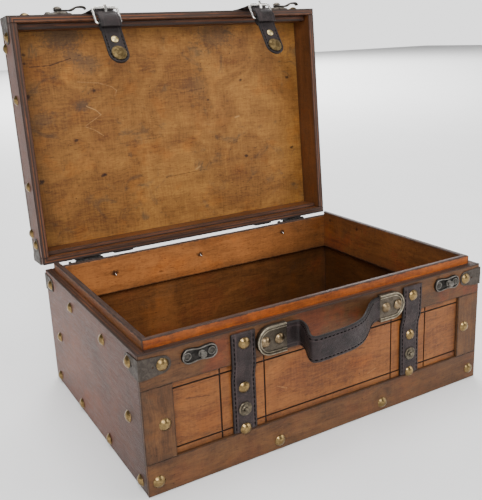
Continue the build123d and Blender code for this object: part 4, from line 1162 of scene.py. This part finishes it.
def bridge(side, x, leather):
    """Free run from the lid strap to the roller, which bends where it leaves the lid."""
    free = smooth_run([(-1.25, 12.0), (-1.25, 6.5), (-1.7, 0.0), (-1.9, -7.0), (-2.4, -13.0),
                       (-2.9, -18.2)], 40)
    path = dense_ends(opened(points_from(x, *(free + (-HALF_D, RIM)).T)))
    run = piece(f"{side}_bridge_leather",
                [carried(path, X_AXIS, across(path, -X_AXIS), leather_section(23.8, FLAP_LEATHER))],
                leather, None, replaces=(f"{side}_strap_bridge",))
    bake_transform(run)


def tail(side, leather):
    """The woven tail: under the roller, over the bar, cut straight."""
    line = smooth_run([(2.6, -5.2), (-0.4, -4.7), (-2.8, -3.3), (-6.2, -0.2), (-12.4, 3.7), (-18.0, 5.0),
                       (-22.0, 4.6), (-26.5, 3.5)], 60)
    path = dense_ends(on_flap(side, points_from(0, *line.T)))
    piece(f"{side}_tail_leather",
          [carried(path, X_AXIS, across(path, -X_AXIS), leather_section(23.6, 2.2), end_taper(path),
                   arch=np.linspace(0.0, 1.5, len(path)))], leather,
          f"{side}_buckle", replaces=(f"{side}_strap_tail",))


def strap_end(side, seed, thread):
    """The stitched end: round the bar, then straight down to a half round end."""
    half, reach = 11.3, 68.0
    turn_at = half - reach
    loop = smooth_run([(-27.0, -2.0), (-22.0, -2.7), (-18.6, -3.0), (-16.2, -1.4), (-16.0, 0.8), (-18.2, 2.5),
                       (-21.5, 2.2), (-25.0, 0.9), (-30.0, 0.1)], 40)
    arc = np.linspace(0, np.pi / 2, 22)[1:]
    along = np.concatenate([loop[:, 0], np.linspace(-31.0, turn_at, 22), turn_at - half * np.sin(arc)])
    out = np.concatenate([loop[:, 1], np.zeros(43)]) - 0.3
    # narrowed round the end, thin where it is cut under the bar, and rounded over at the tip
    wide = np.concatenate([np.ones(62), np.maximum(np.cos(arc), 0.012)])
    thick = np.concatenate([np.linspace(0.3, 1, 4), np.ones(len(along) - 4 - 8),
                            np.sqrt(np.clip(1 - np.linspace(0.05, 1, 8) ** 4, 0.02, 1))])
    path = on_flap(side, points_from(0, along, out))
    piece(f"{side}_strap_end_leather",
          [carried(path, X_AXIS, across(path, -X_AXIS), leather_section(2 * half, FLAP_LEATHER),
                   np.stack([wide, thick], -1))],
          leather_material(f"{side} strap end leather", seed=seed, width=2 * half, depth=0.54),
          f"{side}_strap_end", replaces=(f"{side}_strap_end",))
    # the seam: down one edge, round the end, and up the other edge
    inset, height = half - 2.6, 0.55
    a = np.linspace(0, np.pi, 40)[1:-1]
    seam = on_flap(side, np.concatenate([
        points_from(inset, np.linspace(-33, turn_at, 20), height),
        points_from(inset * np.cos(a), turn_at - inset * np.sin(a), height),
        points_from(-inset, np.linspace(turn_at, -33, 20), height)]))
    facing = flap_frame(side)[2]
    sideways = np.cross(facing, unit(np.gradient(seam, axis=0)))
    piece(f"{side}_strap_end_stitches", stitches(seam, sideways, facing, offsets=(0,), lift=0.0, pitch=4.2),
          thread, f"{side}_strap_end")


def buckle_wire(side):
    """Buckle frame: a flattened wire carried round a rounded rectangle."""
    half_x, length, r = 13.7, 19.0, 2.4
    quarter = np.linspace(0, np.pi / 2, 7)
    corners = ((half_x - r, -r), (r - half_x, -r), (r - half_x, r - length), (half_x - r, r - length))
    line = []
    for turns, (x, y) in enumerate(corners):
        a = quarter + turns * np.pi / 2
        line += [*np.stack([x + r * np.cos(a), y + r * np.sin(a)], -1)]
    line = np.array(line)
    line = evened(np.concatenate([line, line[:1]]), 97)[:-1]
    path = on_flap(side, points_from(*line.T, 0))
    piece(f"{side}_buckle_wire", [looped(path, flap_frame(side)[2], oval(14, 1.35, 1.2))], metals()["nickel"],
          f"{side}_buckle", replaces=(f"{side}_buckle_frame",))


class FOOTLOCKER_OT_flaps(bpy.types.Operator):
    """Strap tails, buckles and snap ends that close over the front."""
    bl_idname = "footlocker.flaps"
    bl_label = "Buckled flaps"

    def execute(self, context):
        thread = thread_material()
        cap = [(0, 3.9), (1.6, 3.85), (3.2, 3.65), (4.8, 3.25), (6.0, 2.75), (6.8, 2.3), (7.15, 2.15),
               (7.5, 2.25), (7.95, 2.1), (8.2, 1.7), (8.2, 1.1), (7.6, 0.8), (0, 0.8)]
        for i, (side, sign) in enumerate(SIDES):
            leather = leather_material(f"{side} flap leather", seed=i + 5.0, width=23.6, depth=0.62)
            bridge(side, sign * STRAP_X, leather)
            tail(side, leather)
            strap_end(side, i + 7.0, thread)
            for name, profile, place, turns, finish, node in (
                    ("snap_cap_brass", cap, (0, -57.0, 0.0), 40, "cap_brass", "snap_cap"),
                    ("strap_rivet_head", dome(3.9, 1.5), (0, -40.0, 0.85), 24, "cream", "strap_rivet")):
                spot = (on_flap(side, place), X_AXIS, *flap_frame(side)[1:])
                piece(f"{side}_{name}", revolved(profile, [spot], turns), metals()[finish],
                      f"{side}_strap_end", replaces=(f"{side}_{node}",))
            buckle_wire(side)
        return {"FINISHED"}


class FOOTLOCKER_OT_handle(bpy.types.Operator):
    """Carry handle, its end caps and rivets."""
    bl_idname = "footlocker.handle"
    bl_label = "Carry handle"

    def execute(self, context):
        m = metals()
        flat = -HALF_D - 1.8
        knots = [(-76, flat), (-62, flat), (-52, flat), (-44, flat - 0.2), (-40.6, flat - 0.9),
                 (-38.9, -136.6), (-38.7, -140.0), (-41.6, -150), (-46.8, -160), (-50.0, -168.0),
                 (-49.6, -171.4), (-46.6, -173.0), (-40, -173.1), (-30, -172.7), (-14, -171.3),
                 (-2, -168.6), (9, -163.6), (20.5, -155.0), (31, -145.8), (40, -138.6), (47, -135.0),
                 (54, flat - 0.1), (64, flat), (76, flat)]
        line = evened(smooth_run(knots, 600), 150)
        path = points_from(*line.T, HANDLE_Z)
        up = across(path, -Z_AXIS)
        # a little thicker along the free stretch, which is stitched between the caps
        puff = np.clip(1 - np.abs((line[:, 0] + 12) / 46) ** 4, 0, 1)
        section = leather_section(STRAP_W, 3.2, seam=2.9, crown=0.35)
        piece("carry_handle_leather", [carried(path, Z_AXIS, up, section, points_from(1, 1 + 0.10 * puff))],
              leather_material("handle leather", seed=9.0, depth=0.74), "root",
              replaces=("carry_handle",))
        free = slice(27, 128)
        rows = stitches(path[free], Z_AXIS, up[free], (-9.1, 9.1), 1.45, trim_set().stitch_pitch)
        piece("carry_handle_stitches", rows, thread_material(), "root")
        piece("handle_end_plates", [end_cap(sign) for _, sign in SIDES], m["bronze"], "root",
              replaces=("handle_end_caps",))
        # the beads' brighter bronze is partly a painted highlight
        piece("handle_end_beads", [bead for _, sign in SIDES for bead in cap_beads(sign)], m["bead"], "root")
        heads = [seat("front", sign * (CAP_MOUTH + reach), HANDLE_Z, out=CAP_WEB) for _, sign in SIDES
                 for reach in (7.4, 22.0)]
        heads = revolved(dome(5.1, 3.5), tilted(heads, seed=3, lean=0.03), turns=28)
        piece("handle_rivet_heads", heads, m["rivet"], "root", replaces=("handle_rivets",))
        return {"FINISHED"}


def half_round(radius):
    """Half circle at the round end of a cap, from its lowest to its highest point."""
    a = np.linspace(-np.pi / 2, np.pi / 2, 40)
    return np.stack([CAP_ROUND + radius * np.cos(a), radius * np.sin(a)], -1)


def cap_beads(sign):
    """Two round beads of an end cap: along its lower edge, round the half circle and back along the upper."""
    beads = []
    for inset, radius in ((1.0, 0.85), (3.3, 0.6)):
        reach = CAP_R - inset
        low = points_from(np.linspace(CAP_MOUTH + 0.3, CAP_ROUND, 14)[:-1], -reach)
        line = evened(np.concatenate([low, half_round(reach), low[::-1] * (1, -1)]), 110)
        path = on_front(points_from(line[:, 0] * sign, line[:, 1] + HANDLE_Z, 4.35))
        ahead = unit(np.gradient(path, axis=0))
        beads.append(carried(path, np.cross(ahead, -Y_AXIS), -Y_AXIS, oval(12, radius)))
    return beads


def end_cap(sign):
    """D-shaped cap: a half stadium that runs inwards over a bead, a furrow and a second bead to a web."""
    outline = np.concatenate([
        half_round(CAP_R), points_from(np.linspace(CAP_ROUND, CAP_MOUTH, 14)[1:], CAP_R),
        points_from(CAP_MOUTH, np.linspace(CAP_R, -CAP_R, 14)[1:-1]),
        points_from(np.linspace(CAP_MOUTH, CAP_ROUND, 14)[:-1], -CAP_R)])
    spine = points_from(np.clip(outline[:, 0], CAP_MOUTH + 2.0, CAP_ROUND), 0)
    rows = np.array([0, 0, 0.3, 0.7, 1.1, 1.5, 1.9, 2.3, 2.7, 3.1, 3.5, 3.9, 4.5, 7.0, 10.0, 99.0])
    beads = ([0, 0.3, 0.7, 1.1, 1.5, 1.9, 2.3, 2.7, 3.1, 3.5, 3.9, 20],
             [3.6, 4.5, 4.95, 4.8, 4.3, 4.25, 4.75, 4.9, 4.5, 4.05, CAP_WEB, CAP_WEB])
    flat, height = pressed(outline, spine, rows, beads)
    height[:, np.abs(outline[:, 0] - CAP_MOUTH) < 0.01] = CAP_WEB
    height[0] = 0.0
    rings = np.stack([flat[..., 0] * sign, flat[..., 1] + HANDLE_Z, height], -1)
    return ringed(rings, [sign * 66.0, HANDLE_Z, 0.0], on_front)


class FOOTLOCKER_OT_studs(bpy.types.Operator):
    """Press studs on the body straps."""
    bl_idname = "footlocker.studs"
    bl_label = "Press studs"

    def execute(self, context):
        profile = [(0, 4.25), (1.3, 4.2), (2.2, 3.85), (2.5, 3.2), (2.3, 2.6), (2.0, 2.0), (2.2, 1.4),
                   (3.0, 0.8), (4.4, 0.75), (4.9, 1.1), (5.5, 1.35), (6.1, 1.2), (6.5, 0.7), (6.55, 0.15),
                   (6.2, 0.0), (0, 0.0)]
        spots = [seat("front", x, middle_height("snap_studs")) for x in (-STRAP_X, STRAP_X)]
        piece("press_studs", revolved(profile, spots, 32), metals()["stud"], "root",
              replaces=("snap_studs",))
        return {"FINISHED"}


def shifted(place, *shift):
    """The same place function for points given from a shifted middle."""
    return lambda points: place(points + np.array(shift, float))


class FOOTLOCKER_OT_catches(bpy.types.Operator):
    """Catch plates and their posts on the box."""
    bl_idname = "footlocker.catches"
    bl_label = "Catches"

    def execute(self, context):
        m = metals()
        height = middle_height("catch_plates")
        # the post stands off the middle of its plate, between two round eyes
        off, eye, eye_r = 1.7, 11.2, 3.1
        edge, spine = stadium(33.0, 14.0, 0.20)
        raised = ([0, 0.25, 0.8, 1.2, 1.8, 2.6, 20], [1.0, 1.8, 2.5, 2.4, 1.4, 0.9, 0.9])
        lumps = ((-eye, 3.4, 0.75), (eye, 3.4, 0.75), (off, 4.4, 0.9))
        post = [(0, 7.0), (1.6, 6.95), (2.6, 6.5), (3.2, 5.7), (3.3, 4.7), (3.0, 4.1), (2.3, 3.7), (2.2, 3.0),
                (2.5, 2.5), (3.2, 2.2), (3.4, 1.7), (3.3, 0.8), (0, 0.8)]
        places = [shifted(on_front, x - off, height, 0) for x in HOOK_X]
        piece("catch_plate_pressings", [plate(edge, spine, raised, place, lumps) for place in places],
              m["plate"], "root", replaces=("catch_plates",))
        # each line: outline, radius of its wire, height of the wire's middle
        lines = ((edge + unit(spine - edge) * 0.95, 0.6, 2.15), (oval(96, eye_r) + (-eye, 0), 0.45, 1.65),
                 (oval(96, eye_r) + (eye, 0), 0.45, 1.65))
        rims = [looped(place(points_from(*line.T, out)), -Y_AXIS, oval(10, radius))
                for place in places for line, radius, out in lines]
        piece("catch_plate_rims", rims, m["post"], "root")
        piece("catch_posts", revolved(post, [seat("front", x, height) for x in HOOK_X], 8), m["post"], "root",
              replaces=("catch_studs",), smooth=False)
        return {"FINISHED"}


class FOOTLOCKER_OT_hooks(bpy.types.Operator):
    """Swing hooks on the lid, with their plates and pivots, that drop over the catches."""
    bl_idname = "footlocker.hooks"
    bl_label = "Swing hooks"

    def execute(self, context):
        m = metals()
        edge, spine = stadium(30.0, 13.0, 0.12)
        stepped = ([0, 0.25, 0.8, 1.4, 2.0, 20], [1.1, 1.7, 2.2, 2.2, 2.0, 2.0])
        lumps = ((0.0, 6.6, 2.25), (5.4, 6.0, 2.2), (-10.8, 3.3, 2.1))
        head = [(0, 9.6), (1.2, 9.55), (2.4, 9.25), (3.5, 8.6), (4.4, 7.7), (4.9, 6.9), (5.0, 6.55),
                (4.7, 6.4), (1.7, 6.4), (1.6, 5.0), (0, 5.0)]
        rise = hook_rise("left")
        piece("hook_plate_castings",
              [plate(edge, spine, stepped, shifted(on_lid_front, x, rise, 0), lumps) for x in HOOK_X],
              m["cast"], "lid", replaces=("hook_base_plates",))
        piece("hook_pivot_heads", revolved(head, [seat("lid_front", x, rise) for x in HOOK_X], 28), m["cast"],
              "lid", replaces=("hook_pivot_rivets",))
        # the arm's line, along and out from its pivot, and its width and thickness there
        line = smooth_run([(-4.6, 5.2), (0, 5.2), (8, 5.2), (14.0, 5.3), (17.0, 6.4), (19.8, 8.0), (23, 8.5),
                           (27.0, 8.5), (29.3, 7.9), (30.4, 6.7), (30.9, 5.5)], 90)
        wide = np.interp(line[:, 0], [-4.6, -4.2, -3.2, -1.5, 0, 3, 6, 10, 15, 22, 29, 31],
                         [0.25, 0.45, 0.95, 1.28, 1.36, 1.25, 1.0, 0.86, 0.84, 0.90, 1.05, 0.9])
        thick = np.interp(line[:, 0], [-4.6, -3.5, 11, 14.5, 17, 20, 26, 30, 31],
                          [0.5, 1.0, 1.0, 1.9, 1.7, 1.35, 1.5, 1.3, 0.7])
        sideways = opened(Z_AXIS) - opened((0, 0, 0))
        for x, (side, _) in zip(HOOK_X, SIDES):
            path = on_lid_front(points_from(x + line[:, 0], hook_rise(side), line[:, 1]))
            piece(f"{side}_hook_arm",
                  [carried(path, sideways, across(path, sideways), bar_section(7.0, 1.6),
                           np.stack([wide, thick], -1))],
                  m["gunmetal"], f"{side}_hook", replaces=(f"{side}_hook",))
        return {"FINISHED"}


def nail_tip(start, out, droop):
    """A quarter bend that thins to its end: start + out * 3.4 sin t + droop * 3.4 (1 - cos t)."""
    bend, radius = 3.4, 0.62
    t = np.linspace(0, 1.25, 14)[:, None]
    path = start + out * bend * np.sin(t) + droop * bend * (1 - np.cos(t))
    side = np.cross(out, droop)
    thin = np.linspace(1.0, 0.45, 14)
    up = np.cross(unit(np.gradient(path, axis=0)), side)
    return carried(path, side, up, oval(10, radius), np.stack([thin, thin], -1))


class FOOTLOCKER_OT_nail_tips(bpy.types.Operator):
    """Bent tips of the nails that come through the back lip."""
    bl_idname = "footlocker.nail_tips"
    bl_label = "Nail tips"

    def execute(self, context):
        inside_back = box_mm("back_lip")[0][1] + 0.2
        droop = np.array([0.25, 0, -0.97])
        tips = [nail_tip(np.array([x, inside_back, z]), -Y_AXIS, droop)
                for x, z in ((-116.4, 112.5), (-8.6, 114.0), (109.5, 121.0))]
        piece("lip_nail_tips", tips, metals()["nickel"], "root")
        return {"FINISHED"}


# ------------------------------------------------------------------ stage
# the camera: place in mm, its three directions, and the shift of its picture
CAMERA_AT = (-364.737, -613.746, 366.910)
CAMERA_RIGHT = (0.86102942, -0.50699921, -0.03975099)
CAMERA_DOWN = (-0.17006047, -0.21338194, -0.96205384)
CAMERA_AHEAD = (0.47927839, 0.83511673, -0.26994865)
CAMERA_SHIFT = (-0.0084, -0.0362)


class FOOTLOCKER_OT_stage(bpy.types.Operator):
    """Floor, softboxes and camera."""
    bl_idname = "footlocker.stage"
    bl_label = "Stage"

    def execute(self, context):
        s = context.scene.footlocker_stage
        lay_floor()
        world = bpy.data.worlds.new("studio")
        context.scene.world = world
        world.use_nodes = True
        studio_walls(world.node_tree, s.sky, s.horizon)
        softbox("key", (-0.95, -1.55, 1.55), (0.0, 0.0, 0.12), 1.3, s.key)
        softbox("fill", (1.7, -1.2, 1.2), (0.0, 0.0, 0.15), 1.3, s.fill)
        softbox("top", (0.0, 0.2, 2.1), (0.0, 0.0, 0.1), 1.5, s.top)
        softbox("backdrop", (1.4, 3.3, 2.4), (1.7, 3.8, 0.0), 2.6, s.back)
        softbox("far floor", (3.4, 6.2, 3.0), (3.4, 6.6, 0.0), 3.6, s.back * 1.9)
        data = bpy.data.cameras.new("view")
        data.sensor_width = 36.0
        data.lens = s.focal
        data.shift_x, data.shift_y = CAMERA_SHIFT
        data.clip_start = 0.01
        camera = bpy.data.objects.new("view", data)
        context.scene.collection.objects.link(camera)
        turn = Matrix((Vector(CAMERA_RIGHT), -Vector(CAMERA_DOWN), -Vector(CAMERA_AHEAD))).transposed()
        camera.matrix_world = Matrix.Translation(Vector(CAMERA_AT) * MM) @ turn.to_4x4()
        context.scene.camera = camera
        return {"FINISHED"}


def lay_floor():
    """A flat pale floor of 24 by 24 squares, 20 m wide, a little under the trunk."""
    g = Graph("pale floor", specular=0.2)
    mottle = g.noise(g.scaled(g.place, 6), detail=3.0)
    pale = g.finish(g.mix(mottle, (0.86, 0.86, 0.86), (0.90, 0.90, 0.90)), 0.75)
    u = np.linspace(-10.0, 10.0, 25)
    x, y = np.meshgrid(u, u, indexing="ij")
    mesh = bpy.data.meshes.new("stage_floor")
    places = points_from(x, y, -0.0004).reshape(-1, 3)
    mesh.from_pydata(places.tolist(), [], grid_faces(*x.shape)[:, ::-1].tolist())
    mesh.materials.append(pale)
    floor = bpy.data.objects.new("stage_floor", mesh)
    bpy.context.scene.collection.objects.link(floor)


def studio_walls(tree, ceiling, backdrop):
    """A room that is pale round the foot of its walls and dimmer overhead, by the height of the direction."""
    background = tree.nodes["Background"]
    place = tree.nodes.new("ShaderNodeTexCoord")
    apart = tree.nodes.new("ShaderNodeSeparateXYZ")
    bright = tree.nodes.new("ShaderNodeMapRange")
    bright.interpolation_type = "SMOOTHSTEP"
    for socket, value in zip(bright.inputs[1:5], (0.10, 0.32, backdrop, ceiling)):
        socket.default_value = value
    background.inputs[0].default_value = (1.0, 1.0, 1.0, 1.0)
    tree.links.new(place.outputs["Generated"], apart.inputs[0])
    tree.links.new(apart.outputs[2], bright.inputs[0])
    tree.links.new(bright.outputs[0], background.inputs[1])


def softbox(name, where, target, size, power):
    """A square area light that looks at a point."""
    data = bpy.data.lights.new(name, "AREA")
    data.shape = "SQUARE"
    data.size = size
    data.energy = power
    lamp = bpy.data.objects.new(name, data)
    lamp.location = where
    lamp.rotation_euler = (Vector(target) - Vector(where)).to_track_quat("-Z", "Y").to_euler()
    bpy.context.scene.collection.objects.link(lamp)


# ------------------------------------------------------------------ add-on
OPERATORS = (FOOTLOCKER_OT_body_wood, FOOTLOCKER_OT_lid_wood, FOOTLOCKER_OT_iron, FOOTLOCKER_OT_nails,
             FOOTLOCKER_OT_body_straps, FOOTLOCKER_OT_lid_straps, FOOTLOCKER_OT_flaps, FOOTLOCKER_OT_handle,
             FOOTLOCKER_OT_studs, FOOTLOCKER_OT_catches, FOOTLOCKER_OT_hooks, FOOTLOCKER_OT_nail_tips,
             FOOTLOCKER_OT_stage)


class FOOTLOCKER_PT_panel(bpy.types.Panel):
    """Lists the makers of the footlocker's pieces."""
    bl_label = "Footlocker"
    bl_idname = "FOOTLOCKER_PT_panel"
    bl_space_type = "VIEW_3D"
    bl_region_type = "UI"
    bl_category = "Footlocker"

    def draw(self, context):
        for maker in OPERATORS:
            self.layout.operator(maker.bl_idname)
        for group in (wood_set(), trim_set(), context.scene.footlocker_stage):
            for key in group.__annotations__:
                self.layout.prop(group, key)


CLASSES = (FootlockerWood, FootlockerTrim, FootlockerStage, *OPERATORS, FOOTLOCKER_PT_panel)


def register():
    for item in CLASSES:
        bpy.utils.register_class(item)
    bpy.types.Scene.footlocker_wood = PointerProperty(type=FootlockerWood)
    bpy.types.Scene.footlocker_trim = PointerProperty(type=FootlockerTrim)
    bpy.types.Scene.footlocker_stage = PointerProperty(type=FootlockerStage)


def unregister():
    del bpy.types.Scene.footlocker_stage
    del bpy.types.Scene.footlocker_trim
    del bpy.types.Scene.footlocker_wood
    for item in reversed(CLASSES):
        bpy.utils.unregister_class(item)


def main():
    """Makes every piece in order."""
    register()
    for maker in OPERATORS:
        group, name = maker.bl_idname.split(".")
        getattr(getattr(bpy.ops, group), name)()
    bpy.context.view_layer.update()


if __name__ == "__main__":
    main()
